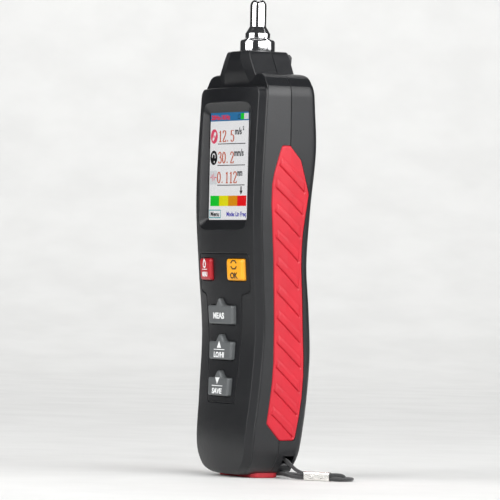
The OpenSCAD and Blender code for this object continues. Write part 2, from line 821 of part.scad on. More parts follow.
function unit(v) = v / norm(v);

// Rings of the braid through the points p, with n rings from each point to the next
function braid_rings(p, n) =
    [for (i = [0:(len(p) - 1) * n])
        let (
            t = i / n, here = way(p, t),
            w = unit(way(p, min(t + 0.05, len(p) - 1)) - way(p, max(t - 0.05, 0))),
            side = unit(cross(w, [0, 1, 0.01 + abs(w[1]) * 20])), up = cross(side, w)
        )
        [for (k = [0:7]) here + strap_r * (side * cos(45 * k) + up * sin(45 * k))]
    ];

module braid(p, n) {
    color("#161616") loft(braid_rings(p, n));
}

function along_crimp(t, z) = [crimp_at[0] + t * cos(crimp_turn), crimp_at[1] + t * sin(crimp_turn), z];

// The leash leaves the crimp, passes round the strap bar and comes back below itself
leash_points = [
    along_crimp(4.5, high_z), along_crimp(0, high_z), [31.3, 7.7, 4.5], [24.8, 7.5, 7.4], [20.6, 7.5, 8.9],
    for (a = [90:30:270]) [bar_x + wrap_r * cos(a), 7.5, bar_z + wrap_r * sin(a)],
    [20.6, 7.5, 2], [24.6, 7.5, 1.6], [31.3, 7.7, 1.2], along_crimp(0, low_z), along_crimp(4.5, low_z)
];

// A point of a level turn about c
function turn_point(c, r, a, z) = [c[0] + r * cos(a), c[1] + r * sin(a), z];

// The wrist loop leaves the other end of the crimp, turns back and lies on the ground behind the casing
inner_turn = [45.02, 19.91];
outer_turn = [43.58, 21.96];
loop_points = [
    along_crimp(crimp_l - 4, high_z), along_crimp(crimp_l, high_z),
    turn_point(inner_turn, 4.5, -19, 3.05), turn_point(inner_turn, 4.5, 17, 2.75), turn_point(inner_turn, 4.5, 53, 1.9),
    turn_point(inner_turn, 4.5, 88, 1.2),
    for (p = [[41.3, 24.1], [36, 23], [26, 21], [14, 19.2], [0, 18.4], [-14, 18.6], [-26, 20.5], [-37, 24],
        [-47, 28.5], [-54, 33.5], [-57, 39.5], [-53, 44.8], [-45, 44.8], [-37.5, 40.3], [-29, 34], [-19, 28.4],
        [-8, 24.9], [4, 23.3], [16, 23.6], [27, 25.3], [35, 27.1], [40, 28.5]])
        [p[0], p[1], floor_z],
    for (a = [86, 58, 29, 1, -27]) turn_point(outer_turn, 7, a, floor_z + 0.05),
    along_crimp(crimp_l, low_z), along_crimp(crimp_l - 4, low_z)
];

module strap_leash() { braid(leash_points, 3); }
module strap_loop() { braid(loop_points, 3); }

module strap_crimp() {
    color("silver") translate([crimp_at[0], crimp_at[1], 0]) rotate([0, 0, crimp_turn]) difference() {
        block([0, -1.4, 0], [crimp_l, 1.4, 4.2]);
        block([-1, -1, 0.2], [crimp_l + 1, 1, 4]);
        for (x = [3.6, crimp_l - 3.6], y = [-3, 3]) translate([x, y, 1.1]) cylinder(r = 1.8, h = 2);
    }
}

front_shell();
rear_shell();
key_plate();
grip_right();
grip_left();
bottom_pad();
case_screws();
display_window();
display_gasket();
display_module();
display_frame();
display_flex();
main_board();
board_chips();
board_screws();
buzzer();
key_switches();
key_power();
key_ok();
key_measure();
key_up();
key_down();
plunger_power();
plunger_ok();
plunger_measure();
plunger_up();
plunger_down();
sensor_housing();
sensor_nut();
sensor_seal();
sensor_plug();
piezo_rings();
seismic_mass();
stack_bolt();
sensor_lead();
probe_tip();
batteries();
battery_springs();
battery_plates();
battery_door();
door_pin();
strap_bar();
strap_leash();
strap_crimp();
strap_loop();
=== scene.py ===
"""Looks of a handheld vibration meter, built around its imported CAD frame.

Shapes are worked out in millimetres and put into the frame in metres by place().
"""
import math

import bmesh
import bpy
import numpy as np
from mathutils import Matrix, Vector
from mathutils.geometry import delaunay_2d_cdt


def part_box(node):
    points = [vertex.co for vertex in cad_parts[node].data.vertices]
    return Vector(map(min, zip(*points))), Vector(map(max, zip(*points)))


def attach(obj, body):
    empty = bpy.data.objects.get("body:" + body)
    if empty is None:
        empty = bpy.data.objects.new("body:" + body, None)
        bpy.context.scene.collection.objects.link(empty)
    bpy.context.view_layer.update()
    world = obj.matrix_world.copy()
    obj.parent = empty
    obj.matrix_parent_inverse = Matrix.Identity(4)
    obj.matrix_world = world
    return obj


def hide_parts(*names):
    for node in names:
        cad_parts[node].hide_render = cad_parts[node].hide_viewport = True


MM = 0.001

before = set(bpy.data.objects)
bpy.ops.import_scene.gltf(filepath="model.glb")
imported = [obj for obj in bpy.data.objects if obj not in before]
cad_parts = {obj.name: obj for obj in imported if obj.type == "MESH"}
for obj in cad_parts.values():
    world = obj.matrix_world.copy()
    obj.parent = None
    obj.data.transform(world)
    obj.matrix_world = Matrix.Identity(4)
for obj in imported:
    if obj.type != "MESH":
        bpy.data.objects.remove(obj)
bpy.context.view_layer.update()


def span(node, axis):
    """Lowest and highest place of a CAD node along an axis, in millimetres."""
    low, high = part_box(node)
    return low[axis] / MM, high[axis] / MM


# ---------- sizes, in millimetres ----------

NOSE_H = 10.5
NOSE_TOP = span("rear_shell", 2)[1]
BODY_H = NOSE_TOP - NOSE_H
BODY_W = 62
BODY_D = 32.6
WALL = 2.2
RIM_DROP = 3.3
CROWN = 2.8
BASE_GAP = span("front_shell", 2)[0]
PART_Y = 1.3
TOP_R = 11
BOTTOM_R = 13
TOP_EDGE = 1.6
BOTTOM_EDGE = 4
BEZEL_TOP = BODY_H - 6.3
BEZEL_R = 4.5
SIDE_RIM = 3.3
REAR_R = 4.6
DRAFT = 0.9
FRONT_DRAFT = 0.35
PART_CHAMFER = 0.28
FIT = 0.1
SAME_SPOT = 0.02
EVERYWHERE = (-1e3, 1e3)

SCREEN_W = 37.4
SCREEN_H = 49.4
SCREEN_Z = 142.5
BOTTOM, TOP = SCREEN_Z - SCREEN_H / 2, SCREEN_Z + SCREEN_H / 2
WINDOW_Y, WINDOW_BACK = span("display_window", 1)
LIP_Y = WINDOW_Y - 0.2
GLASS_W = span("display_module", 0)[1] * 2
GLASS_LOW, GLASS_HIGH = span("display_module", 2)
PAGE_Y = span("display_module", 1)[0]

PLATE_T = 1.4
UPPER_PROUD = 1.6
KEY_PROUD = 2
FLANGE = 0.8
PLATE_POINTS = [(23.4, 102.4), (23.4, 85), (16.9, 83.6), (12.9, 33.9)]

# Shapes of the casing, as (share of the height, share of the width or depth)
WIDTH_SHAPE = [(0, .79), (.10, .855), (.22, .905), (.36, .935), (.52, .965), (.67, .993), (.82, 1), (1, .99)]
FRONT_SHAPE = [(0, .425), (.09, .456), (.195, .412), (.357, .366), (.52, .428), (.67, .475), (.82, .459),
               (1, .412)]
REAR_SHAPE = [(0, .398), (.108, .479), (.22, .529), (.314, .541), (.42, .495), (.53, .434), (.67, .463),
              (.81, .53), (.92, .5), (1, .47)]
CROWN_SHAPE = [(0, .5), (.2, .75), (.4, 1), (1, 1)]
# The nose: (distance below its top, half width of its front facet, half width, depth of the facet, of its sides)
NOSE_SHAPE = [(0, 4.7, 10.5, 11.2, 10), (4, 5.4, 12.9, 12, 10.3), (10.5, 9.8, 16.9, 11.4, 10.2),
              (17.5, 13.5, 21, 9.7, 9.2)]


# ---------- curves of the casing ----------

def curve(table, x):
    """Smooth curve through the points of table, read at x."""
    t = np.array(table, float)
    xs, ys = t[:, 0], t[:, 1]
    before = np.maximum(np.arange(len(t)) - 1, 0)
    after = np.minimum(np.arange(len(t)) + 1, len(t) - 1)
    m = (ys[after] - ys[before]) / (xs[after] - xs[before])
    x = np.asarray(x, float)
    k = np.clip(np.searchsorted(xs, x) - 1, 0, len(t) - 2)
    h = xs[k + 1] - xs[k]
    s = (x - xs[k]) / h
    inside = ((1 + 2 * s) * (1 - s) ** 2 * ys[k] + s * (1 - s) ** 2 * h * m[k]
              + s * s * (3 - 2 * s) * ys[k + 1] + s * s * (s - 1) * h * m[k + 1])
    below = ys[0] + m[0] * (x - xs[0])
    above = ys[-1] + m[-1] * (x - xs[-1])
    return np.where(x < xs[0], below, np.where(x > xs[-1], above, inside))


def cut_in(r, depth):
    """How far a corner of radius r cuts in at that depth below its end."""
    d = np.clip(np.asarray(depth, float), 0, r)
    return r - np.sqrt(np.maximum(r * r - (r - d) ** 2, 0))


def smooth_step(t):
    t = np.clip(t, 0, 1)
    return t * t * (3 - 2 * t)


def half_width(z, g=0.0):
    return (BODY_W / 2 * curve(WIDTH_SHAPE, z / BODY_H) - g
            - cut_in(TOP_R - g, BODY_H - g - z) - cut_in(BOTTOM_R - g, z - BASE_GAP - g))


def end_cut(z, g=0.0):
    return cut_in(TOP_EDGE, BODY_H - g - z) + cut_in(BOTTOM_EDGE, z - BASE_GAP - g)


def bezel_share(z, g=0.0):
    return smooth_step((BEZEL_TOP - g + 0.4 - z) / 0.9)


def bezel_half(z, g=0.0):
    upper = BODY_W / 2 - g - SIDE_RIM - cut_in(BEZEL_R, BEZEL_TOP - g - np.minimum(z, BEZEL_TOP - g))
    return np.minimum(half_width(z, g) - SIDE_RIM, upper)


def rim_y(z, g=0.0):
    return BODY_D * curve(FRONT_SHAPE, z / BODY_H) - RIM_DROP - g - end_cut(z, g)


def bezel_y(z, g=0.0):
    return rim_y(z, g) + RIM_DROP * bezel_share(z, g)


def rear_y(z, g=0.0):
    return BODY_D * curve(REAR_SHAPE, z / BODY_H) - g - end_cut(z, g)


def crown_y(z):
    return CROWN * curve(CROWN_SHAPE, z / BODY_H)


def face_y(x, z, g=0.0):
    """Depth of the casing's front face at (x, z), in front of the probe's axis."""
    return bezel_y(z, g) + crown_y(z) * (1 - (x / bezel_half(z, g)) ** 2)


# ---------- outlines ----------

def corner(p, a, b, r, steps):
    """Points of an arc of radius r in the corner p, between the directions of a and b."""
    u, v = a - p, b - p
    lu, lv = np.linalg.norm(u), np.linalg.norm(v)
    if lu < 1e-6 or lv < 1e-6:
        return [p] * (steps + 1)
    u, v = u / lu, v / lv
    half = math.acos(max(-1, min(1, float(u @ v)))) / 2
    if half > math.pi / 2 - 0.02 or r < 1e-4:
        return [p] * (steps + 1)
    reach = min(r / math.tan(half), 0.48 * lu, 0.48 * lv)
    r = reach * math.tan(half)
    c = p + (u + v) / np.linalg.norm(u + v) * r / math.sin(half)
    first, last = p + u * reach - c, p + v * reach - c
    start = math.atan2(first[1], first[0])
    turn = (math.atan2(last[1], last[0]) - start + math.pi) % (2 * math.pi) - math.pi
    return [c + r * np.array([math.cos(start + turn * k / steps), math.sin(start + turn * k / steps)])
            for k in range(steps + 1)]


def rounded(points, r, steps=6):
    """A closed outline with its corners rounded to radius r."""
    p = [np.array(q, float) for q in points]
    return [q for i in range(len(p)) for q in corner(p[i], p[i - 1], p[(i + 1) % len(p)], r, steps)]


def softened(points, radii, steps=6):
    """An open line whose inner points are rounded to their own radii."""
    p = [np.array(q, float) for q in points]
    out = [p[0]]
    for i in range(1, len(p) - 1):
        out += corner(p[i], p[i - 1], p[i + 1], radii[i - 1], steps)
    return out + [p[-1]]


def dense(points, step):
    """A closed outline with points at most step apart."""
    out = []
    for a, b in zip(points, points[1:] + points[:1]):
        n = max(1, math.ceil(np.linalg.norm(np.subtract(b, a)) / step))
        out += [np.array(a) + (np.array(b) - np.array(a)) * k / n for k in range(n)]
    return out


def offset(points, by):
    """A closed counterclockwise outline moved outwards by a distance."""
    p = np.array(points, float)
    back, on = p - np.roll(p, 1, axis=0), np.roll(p, -1, axis=0) - p
    back /= np.maximum(np.linalg.norm(back, axis=1, keepdims=True), 1e-9)
    on /= np.maximum(np.linalg.norm(on, axis=1, keepdims=True), 1e-9)
    n = np.stack([back[:, 1] + on[:, 1], -back[:, 0] - on[:, 0]], axis=1)
    n /= np.maximum(np.linalg.norm(n, axis=1, keepdims=True), 1e-9)
    lean = np.maximum(n[:, 0] * on[:, 1] - n[:, 1] * on[:, 0], 0.5)
    return [q for q in p + n * (by / lean)[:, None]]


def counterclockwise(points):
    p = np.array(points, float)
    q = np.roll(p, -1, axis=0)
    area = (p[:, 0] * q[:, 1] - q[:, 0] * p[:, 1]).sum()
    return list(points) if area > 0 else list(points)[::-1]


def distinct(points):
    """A closed outline without points that repeat the one before."""
    out = []
    for p in points:
        if not out or math.dist(p, out[-1]) > SAME_SPOT:
            out.append(p)
    return out if math.dist(out[0], out[-1]) > SAME_SPOT else out[:-1]


def shifted(points, x, z):
    return [(x + a, z + b) for a, b in points]


def mirrored(points):
    return [tuple(p) for p in points] + [(-p[0], p[1]) for p in reversed(points)]


def rectangle(w, low, high):
    return [(w / 2, low), (w / 2, high), (-w / 2, high), (-w / 2, low)]


# ---------- meshes ----------

def new_object(name, data):
    obj = bpy.data.objects.new(name, data)
    bpy.context.scene.collection.objects.link(obj)
    return obj


def mesh_object(name, points, faces):
    mesh = bpy.data.meshes.new(name)
    mesh.from_pydata([tuple(float(c) for c in p) for p in points], [], faces)
    mesh.update()
    return new_object(name, mesh)


def outward(obj):
    """Turns an object's faces so that they all look outwards."""
    bm = bmesh.new()
    bm.from_mesh(obj.data)
    bmesh.ops.recalc_face_normals(bm, faces=bm.faces)
    if bm.calc_volume(signed=True) < 0:
        bmesh.ops.reverse_faces(bm, faces=bm.faces)
    bm.to_mesh(obj.data)
    bm.free()
    return obj


def loft(name, rings, closed=False):
    """A skin over rings of equal count, capped at both ends or joined into a loop."""
    n, m = len(rings[0]), len(rings)
    points = [p for r in rings for p in r]
    faces = []
    for j in range(m if closed else m - 1):
        a, b = j * n, (j + 1) % m * n
        faces += [(a + i, a + (i + 1) % n, b + (i + 1) % n, b + i) for i in range(n)]
    if not closed:
        points += [np.mean(np.array(rings[0], float), axis=0), np.mean(np.array(rings[-1], float), axis=0)]
        last = (m - 1) * n
        faces += [(n * m, (i + 1) % n, i) for i in range(n)]
        faces += [(n * m + 1, last + i, last + (i + 1) % n) for i in range(n)]
    return outward(mesh_object(name, points, faces))


def across(name, outline, y0, y1):
    """A prism with its outline in the XZ plane."""
    return loft(name, [[(p[0], y, p[1]) for p in outline] for y in (y0, y1)])


def circle(x, z, r, steps=48):
    return [(x + r * math.cos(2 * math.pi * k / steps), z + r * math.sin(2 * math.pi * k / steps))
            for k in range(steps)]


def upright(name, outline, z0, z1):
    return loft(name, [[(p[0], p[1], z) for p in outline] for z in (z0, z1)])


def turned(name, outline, steps):
    """Turns an outline of (radius, height) points about an upright axis."""
    return loft(name, [[(max(r, 1e-4) * c, max(r, 1e-4) * s, z) for r, z in outline]
                       for c, s in circle(0, 0, 1, steps)], closed=True)


def pillar(name, x, z, r, y0, y1):
    return across(name, circle(x, z, r, 40), y0, y1)


def rail(name, y, z, r, half):
    return loft(name, [[(x, *p) for p in circle(y, z, r, 40)] for x in (-half, half)])


def block(name, low, high):
    ring = [(low[0], low[1]), (high[0], low[1]), (high[0], high[1]), (low[0], high[1])]
    return upright(name, ring, low[2], high[2])


def headings(p, closed):
    """Direction of a line at each of its points."""
    ahead, behind = np.roll(p, -1, axis=0), np.roll(p, 1, axis=0)
    if not closed:
        ahead[-1], behind[0] = p[-1], p[0]
    w = ahead - behind
    return w / np.linalg.norm(w, axis=1, keepdims=True)


def seam(name, line, r, closed=True):
    """A thin tube along a line of points, which cuts a groove where it meets a surface."""
    p = np.array(line, float)
    rings = []
    for at, w in zip(p, headings(p, closed)):
        side = np.cross(w, (0, 1, 0.02))
        side /= np.linalg.norm(side)
        up = np.cross(side, w)
        rings.append([at + side * c + up * s for c, s in circle(0, 0, r, 8)])
    return loft(name, rings, closed=closed)


def finished_mesh(obj):
    """A new mesh of what an object's modifiers or curves make."""
    bpy.context.view_layer.update()
    return bpy.data.meshes.new_from_object(obj.evaluated_get(bpy.context.evaluated_depsgraph_get()))


def take_mesh(obj):
    """Puts what an object's modifiers make into its own mesh."""
    mesh = finished_mesh(obj)
    old = obj.data
    obj.modifiers.clear()
    obj.data = mesh
    bpy.data.meshes.remove(old)


def combine(obj, operation, *others):
    """Adds other solids to a solid, cuts them from it or keeps what they share, and uses them up."""
    for other in others:
        modifier = obj.modifiers.new("combine", "BOOLEAN")
        modifier.operation = operation
        modifier.solver = "MANIFOLD"
        modifier.object = other
        take_mesh(obj)
        bpy.data.objects.remove(other)
    return obj


def cut(obj, *others):
    return combine(obj, "DIFFERENCE", *others)


def add(obj, *others):
    return combine(obj, "UNION", *others)


def common(obj, *others):
    return combine(obj, "INTERSECT", *others)


def joined(name, objects):
    """Several objects as one object, without merging their surfaces."""
    bm = bmesh.new()
    materials = []
    for o in objects:
        base = len(materials)
        materials += list(o.data.materials)
        count = len(bm.faces)
        bm.from_mesh(o.data)
        bm.faces.ensure_lookup_table()
        for f in bm.faces[count:]:
            f.material_index += base
    mesh = bpy.data.meshes.new(name)
    bm.to_mesh(mesh)
    bm.free()
    for m in materials:
        mesh.materials.append(m)
    for o in objects:
        bpy.data.objects.remove(o)
    return new_object(name, mesh)


def place(obj, body, material, nodes=(), angle=32, weighted=True):
    """Puts a finished piece into the frame: metres, shading, material and body."""
    obj.data.transform(Matrix.Scale(MM, 4))
    obj.data.shade_smooth()
    obj.data.set_sharp_from_angle(angle=math.radians(angle))
    if weighted:
        obj.modifiers.new("even_normals", "WEIGHTED_NORMAL").keep_sharp = True
    if material is not None:
        obj.data.materials.clear()
        obj.data.materials.append(material)
    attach(obj, body)
    if nodes:
        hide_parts(*nodes)
    return obj


# ---------- materials ----------

class Looks:
    """A material under construction, with the nodes that it shares."""

    def __init__(self, name, **sockets):
        self.material = bpy.data.materials.new(name)
        self.material.use_nodes = True
        self.nodes = self.material.node_tree.nodes
        self.links = self.material.node_tree.links
        self.shader = self.nodes["Principled BSDF"]
        for socket, value in sockets.items():
            self.shader.inputs[socket.replace("_", " ")].default_value = value
        self.place = self.nodes.new("ShaderNodeTexCoord").outputs["Object"]
        self.normal = None

    def node(self, kind, **values):
        made = self.nodes.new(kind)
        for key, value in values.items():
            if hasattr(made, key):
                setattr(made, key, value)
            else:
                made.inputs[key.replace("_", " ")].default_value = value
        return made

    def noise(self, size, detail=2.0, roughness=0.5, stretch=(1, 1, 1)):
        """Noise whose features are about size millimetres across."""
        mapping = self.node("ShaderNodeMapping", Scale=stretch)
        self.links.new(self.place, mapping.inputs["Vector"])
        made = self.node("ShaderNodeTexNoise", Scale=1 / (size * MM), Detail=detail, Roughness=roughness)
        self.links.new(mapping.outputs["Vector"], made.inputs["Vector"])
        return made.outputs["Fac"]

    def cells(self, size):
        made = self.node("ShaderNodeTexVoronoi", Scale=1 / (size * MM))
        self.links.new(self.place, made.inputs["Vector"])
        return made.outputs["Distance"]

    def ramp(self, source, stops):
        made = self.node("ShaderNodeValToRGB")
        elements = made.color_ramp.elements
        while len(elements) < len(stops):
            elements.new(0.5)
        for element, (at, colour) in zip(elements, stops):
            element.position, element.color = at, (*colour, 1)
        self.links.new(source, made.inputs["Fac"])
        return made.outputs["Color"]

    def range(self, source, low, high):
        made = self.node("ShaderNodeMapRange", From_Min=0.3, From_Max=0.7, To_Min=low, To_Max=high)
        self.links.new(source, made.inputs["Value"])
        return made.outputs["Result"]

    def set(self, socket, source):
        self.links.new(source, self.shader.inputs[socket])

    def bump(self, source, depth):
        """Adds relief of about depth millimetres on top of what is there."""
        made = self.node("ShaderNodeBump", Strength=1, Distance=depth * MM)
        self.links.new(source, made.inputs["Height"])
        if self.normal is not None:
            self.links.new(self.normal, made.inputs["Normal"])
        self.normal = made.outputs["Normal"]
        self.set("Normal", self.normal)

    def colours(self, source, low, high):
        self.set("Base Color", self.ramp(source, [(0.35, low), (0.65, high)]))


def shade(colour, by):
    return tuple(min(1.0, c * by) for c in colour)


def moulded(name, colour, roughness, grain=0.35, depth=0.03, spread=0.035, **sockets):
    """Moulded plastic or rubber: fine spark texture, uneven gloss and slight colour variation."""
    m = Looks(name, **sockets)
    m.colours(m.noise(9, 3), shade(colour, 0.95), shade(colour, 1.05))
    m.set("Roughness", m.range(m.noise(2.5, 4, 0.6), roughness - spread, roughness + spread))
    m.bump(m.noise(7, 2), 0.02)
    m.bump(m.noise(grain, 2, 0.55), depth)
    return m.material


def metal(name, colour, roughness, line=0.05, depth=0.002, stretch=(1, 1, 1), patch=3, spread=0.05, **sockets):
    """Worked metal: fine tool marks drawn out along stretch, and uneven polish."""
    m = Looks(name, Metallic=1.0, **sockets)
    m.colours(m.noise(patch, 3), shade(colour, 0.93), shade(colour, 1.05))
    m.set("Roughness", m.range(m.noise(patch * 0.6, 4, 0.6), max(0.02, roughness - spread), roughness + spread))
    m.bump(m.noise(line, 2, 0.5, stretch), depth)
    return m.material


def glowing(name, colour):
    """A lit patch of the display: its dots are just visible."""
    m = Looks(name, Base_Color=(0.002, 0.002, 0.002, 1), Roughness=0.5, IOR=1.15, Emission_Strength=1)
    m.set("Emission Color", m.ramp(m.cells(0.15), [(0, colour), (1, shade(colour, 0.86))]))
    return m.material


def glass():
    """Scratch-resistant window: clear, with faint smears in its polish."""
    m = Looks("window_clear", Base_Color=(1, 1, 1, 1), IOR=1.45, Transmission_Weight=1)
    m.set("Roughness", m.range(m.noise(4, 4, 0.6), 0, 0.03))
    m.bump(m.noise(5, 2), 0.002)
    return m.material


def braid_material():
    """Round black braid: two sets of yarns that cross."""
    m = Looks("strap_braid", Sheen_Weight=0.35, Sheen_Roughness=0.5)
    m.colours(m.noise(0.5, 3), (0.010, 0.010, 0.011), (0.030, 0.030, 0.033))
    m.set("Roughness", m.range(m.noise(0.3, 3), 0.6, 0.85))
    m.bump(m.noise(0.12, 3, 0.6), 0.04)
    return m.material


BLACK = (0.0075, 0.008, 0.0095)

TURNED = (0.05, 0.05, 3)
mat = {
    "glass": glass(), "braid": braid_material(),
    "shell": moulded("shell_black", BLACK, 0.32, grain=0.5, depth=0.065, IOR=1.48),
    "plate": moulded("plate_black", (0.006, 0.0065, 0.008), 0.34, grain=0.4, depth=0.05, IOR=1.4),
    "door": moulded("door_black", BLACK, 0.33, grain=0.5, depth=0.065, IOR=1.48),
    "grip": moulded("grip_red", (0.46, 0.009, 0.022), 0.4, grain=0.5, depth=0.015, spread=0.02, IOR=1.42),
    "pad": moulded("pad_red", (0.42, 0.012, 0.022), 0.5, grain=0.5, depth=0.02),
    "red_key": moulded("key_red", (0.42, 0.004, 0.012), 0.38, grain=0.4, depth=0.012),
    "yellow_key": moulded("key_yellow", (0.85, 0.36, 0.008), 0.38, grain=0.4, depth=0.012),
    "grey_key": moulded("key_grey", (0.098, 0.105, 0.108), 0.42, grain=0.4, depth=0.012),
    "ink": moulded("ink_white", (0.82, 0.83, 0.83), 0.45, grain=0.2, depth=0.003),
    "dark_ink": moulded("ink_black", (0.02, 0.015, 0.01), 0.45, grain=0.2, depth=0.003),
    "steel": metal("probe_polished", (0.86, 0.86, 0.87), 0.1, line=0.08, depth=0.0006, stretch=TURNED),
    "dull_steel": metal("steel_turned", (0.62, 0.63, 0.65), 0.3, stretch=TURNED),
    "screw": metal("screw_zinc", (0.55, 0.56, 0.58), 0.34, line=0.2, depth=0.004),
    "crimp": metal("crimp_nickel", (0.78, 0.77, 0.74), 0.24, line=0.12, depth=0.003, stretch=(0.3, 3, 3)),
    "brass": metal("brass_turned", (0.75, 0.55, 0.25), 0.28, stretch=TURNED),
    "contact": metal("contact_plated", (0.8, 0.68, 0.42), 0.28, line=0.15, depth=0.003),
    "seal": moulded("seal_black", (0.012, 0.012, 0.012), 0.55),
    "foam": moulded("foam_black", (0.018, 0.018, 0.018), 0.85, grain=0.4, depth=0.1),
    "module": moulded("module_dark", (0.02, 0.021, 0.023), 0.25, depth=0.005),
    "light": moulded("backing_white", (0.72, 0.72, 0.68), 0.4),
    "flex": moulded("flex_amber", (0.5, 0.24, 0.03), 0.28, depth=0.008),
    "board": moulded("board_green", (0.012, 0.13, 0.04), 0.33, grain=0.6, depth=0.01),
    "chips": moulded("chips_black", (0.02, 0.02, 0.021), 0.5),
    "ceramic": moulded("ceramic_white", (0.8, 0.76, 0.64), 0.6),
    "cells": moulded("cells_green", (0.03, 0.2, 0.07), 0.3, grain=1.2, depth=0.01),
}


# ---------- camera ----------

CAMERA_SIDE = Vector((0.875, -0.485, 0)).normalized()
CAMERA_RIGHT = Vector((0.485, 0.875, 0)).normalized()
EYE = CAMERA_SIDE * 1.936 + Vector((0, 0, 0.095))
AIM = CAMERA_RIGHT * -0.00134 + Vector((0, 0, 0.1042))
ROLL = math.radians(1.3)


def make_camera():
    """A long lens, level with the meter's middle."""
    data = bpy.data.cameras.new("camera")
    data.sensor_width = 36
    data.lens = 302.4
    data.clip_start = 0.1
    data.clip_end = 20
    camera = new_object("camera", data)
    camera.location = EYE
    turn = (AIM - EYE).to_track_quat("-Z", "Y")
    camera.rotation_euler = (turn.to_matrix() @ Matrix.Rotation(ROLL, 3, "Z")).to_euler()
    bpy.context.scene.camera = camera


make_camera()
bpy.context.scene.view_settings.view_transform = "Standard"


# ---------- wrist strap ----------

STRAP_R = 0.85
STRAP_STEP = 0.16
BAR_X, BAR_Z, BAR_R = 17.5, 5.7, 2.7
WRAP_R = BAR_R + STRAP_R + 0.05
CRIMP_AT = (37.3, 9)
CRIMP_TURN = math.radians(35)
CRIMP_L = 12.6
CRIMP_Z = 2.1
DENT_IN = 3.6
HIGH_Z, LOW_Z, FLOOR_Z = 3, 1.15, 0.95
INNER_TURN, OUTER_TURN = (45.02, 19.91), (43.58, 21.96)


def along_crimp(t, z):
    return (CRIMP_AT[0] + t * math.cos(CRIMP_TURN), CRIMP_AT[1] + t * math.sin(CRIMP_TURN), z)


def turn_point(centre, r, a, z):
    return (centre[0] + r * math.cos(math.radians(a)), centre[1] + r * math.sin(math.radians(a)), z)


LEASH_POINTS = [
    along_crimp(4.5, HIGH_Z), along_crimp(0, HIGH_Z), (31.3, 7.7, 4.5), (24.8, 7.5, 7.4), (20.6, 7.5, 8.9),
    *[(x, 7.5, z) for x, z, _ in (turn_point((BAR_X, BAR_Z), WRAP_R, a, 0) for a in range(90, 271, 30))],
    (20.6, 7.5, 2), (24.6, 7.5, 1.6), (31.3, 7.7, 1.2), along_crimp(0, LOW_Z), along_crimp(4.5, LOW_Z),
]
LOOP_POINTS = [
    along_crimp(CRIMP_L - 4, HIGH_Z), along_crimp(CRIMP_L, HIGH_Z),
    *[turn_point(INNER_TURN, 4.5, a, z) for a, z in ((-19, 3.05), (17, 2.75), (53, 1.9), (88, 1.2))],
    *[(x, y, FLOOR_Z) for x, y in
      [(41.3, 24.1), (36, 23), (26, 21), (14, 19.2), (0, 18.4), (-14, 18.6), (-26, 20.5), (-37, 24), (-47, 28.5),
       (-54, 33.5), (-57, 39.5), (-53, 44.8), (-45, 44.8), (-37.5, 40.3), (-29, 34), (-19, 28.4), (-8, 24.9),
       (4, 23.3), (16, 23.6), (27, 25.3), (35, 27.1), (40, 28.5)]],
    *[turn_point(OUTER_TURN, 7, a, FLOOR_Z + 0.05) for a in (86, 58, 29, 1, -27)],
    along_crimp(CRIMP_L, LOW_Z), along_crimp(CRIMP_L - 4, LOW_Z),
]


def way(points):
    """Evenly spaced points on the smooth curve through a route's points."""
    p = np.array(points, float)
    fine = []
    for i in range(len(p) - 1):
        a, b, c, d = p[max(i - 1, 0)], p[i], p[i + 1], p[min(i + 2, len(p) - 1)]
        for s in np.arange(0, 1, 0.02):
            fine.append((b * 2 + (c - a) * s + (a * 2 - b * 5 + c * 4 - d) * s ** 2
                         + (b * 3 - a - c * 3 + d) * s ** 3) / 2)
    fine = np.array(fine + [p[-1]])
    far = np.concatenate([[0], np.cumsum(np.linalg.norm(np.diff(fine, axis=0), axis=1))])
    at = np.linspace(0, far[-1], int(far[-1] / STRAP_STEP) + 1)
    return np.stack([np.interp(at, far, fine[:, k]) for k in range(3)], axis=1), far[-1]


def braid(name, points, node, exit_point, **facts):
    """A tube along a route whose surface is woven from eight crossing yarns each way."""
    line, length = way(points)
    pairs, pitch, around = 4, 5, 32
    rings = []
    side = np.array([0.0, 1.0, 0.0])
    for i, (p, w) in enumerate(zip(line, headings(line, False))):
        side = side - (side @ w) * w
        side /= np.linalg.norm(side)
        up = np.cross(w, side)
        twist = 2 * math.pi * pairs * i * STRAP_STEP / pitch
        ring = []
        for a in np.linspace(0, 2 * math.pi, around, endpoint=False):
            high = max(abs(math.cos(pairs * a + twist)), abs(math.cos(pairs * a - twist)))
            ring.append(p + (STRAP_R - 0.1 + 0.1 * high ** 2) * (side * math.cos(a) + up * math.sin(a)))
        rings.append(ring)
    obj = place(loft(name, rings), "casing", mat["braid"], [node], angle=60, weighted=False)
    return obj


def oblong(half_y, half_z, power_y, power_z, steps):
    """A section of the crimp: the smaller the powers, the squarer it is."""
    return [(half_y * math.copysign(abs(c) ** power_y, c), CRIMP_Z + half_z * math.copysign(abs(s) ** power_z, s))
            for c, s in circle(0, 0, 1, steps)]


def make_crimp():
    """The pressed metal clip that holds the strap's four strands, dented on both sides."""
    rings = []
    for x in np.linspace(0, CRIMP_L, 64):
        dent = 0.16 * sum(math.exp(-((x - at) / 1.5) ** 2) for at in (DENT_IN, CRIMP_L - DENT_IN))
        rings.append([(x, y * (1 - dent * math.exp(-((z - CRIMP_Z) / 1.2) ** 2) / 1.4), z)
                      for y, z in oblong(1.4, 2.08, 0.55, 0.45, 56)])
    inner = [[(x, *p) for p in oblong(0.98, 1.88, 0.6, 0.5, 40)] for x in (-1, CRIMP_L + 1)]
    crimp = cut(loft("strap_crimp_clip", rings), loft("bore", inner))
    crimp.data.transform(Matrix.Translation((*CRIMP_AT, 0)) @ Matrix.Rotation(CRIMP_TURN, 4, "Z"))
    return place(crimp, "casing", mat["crimp"], ["strap_crimp"])


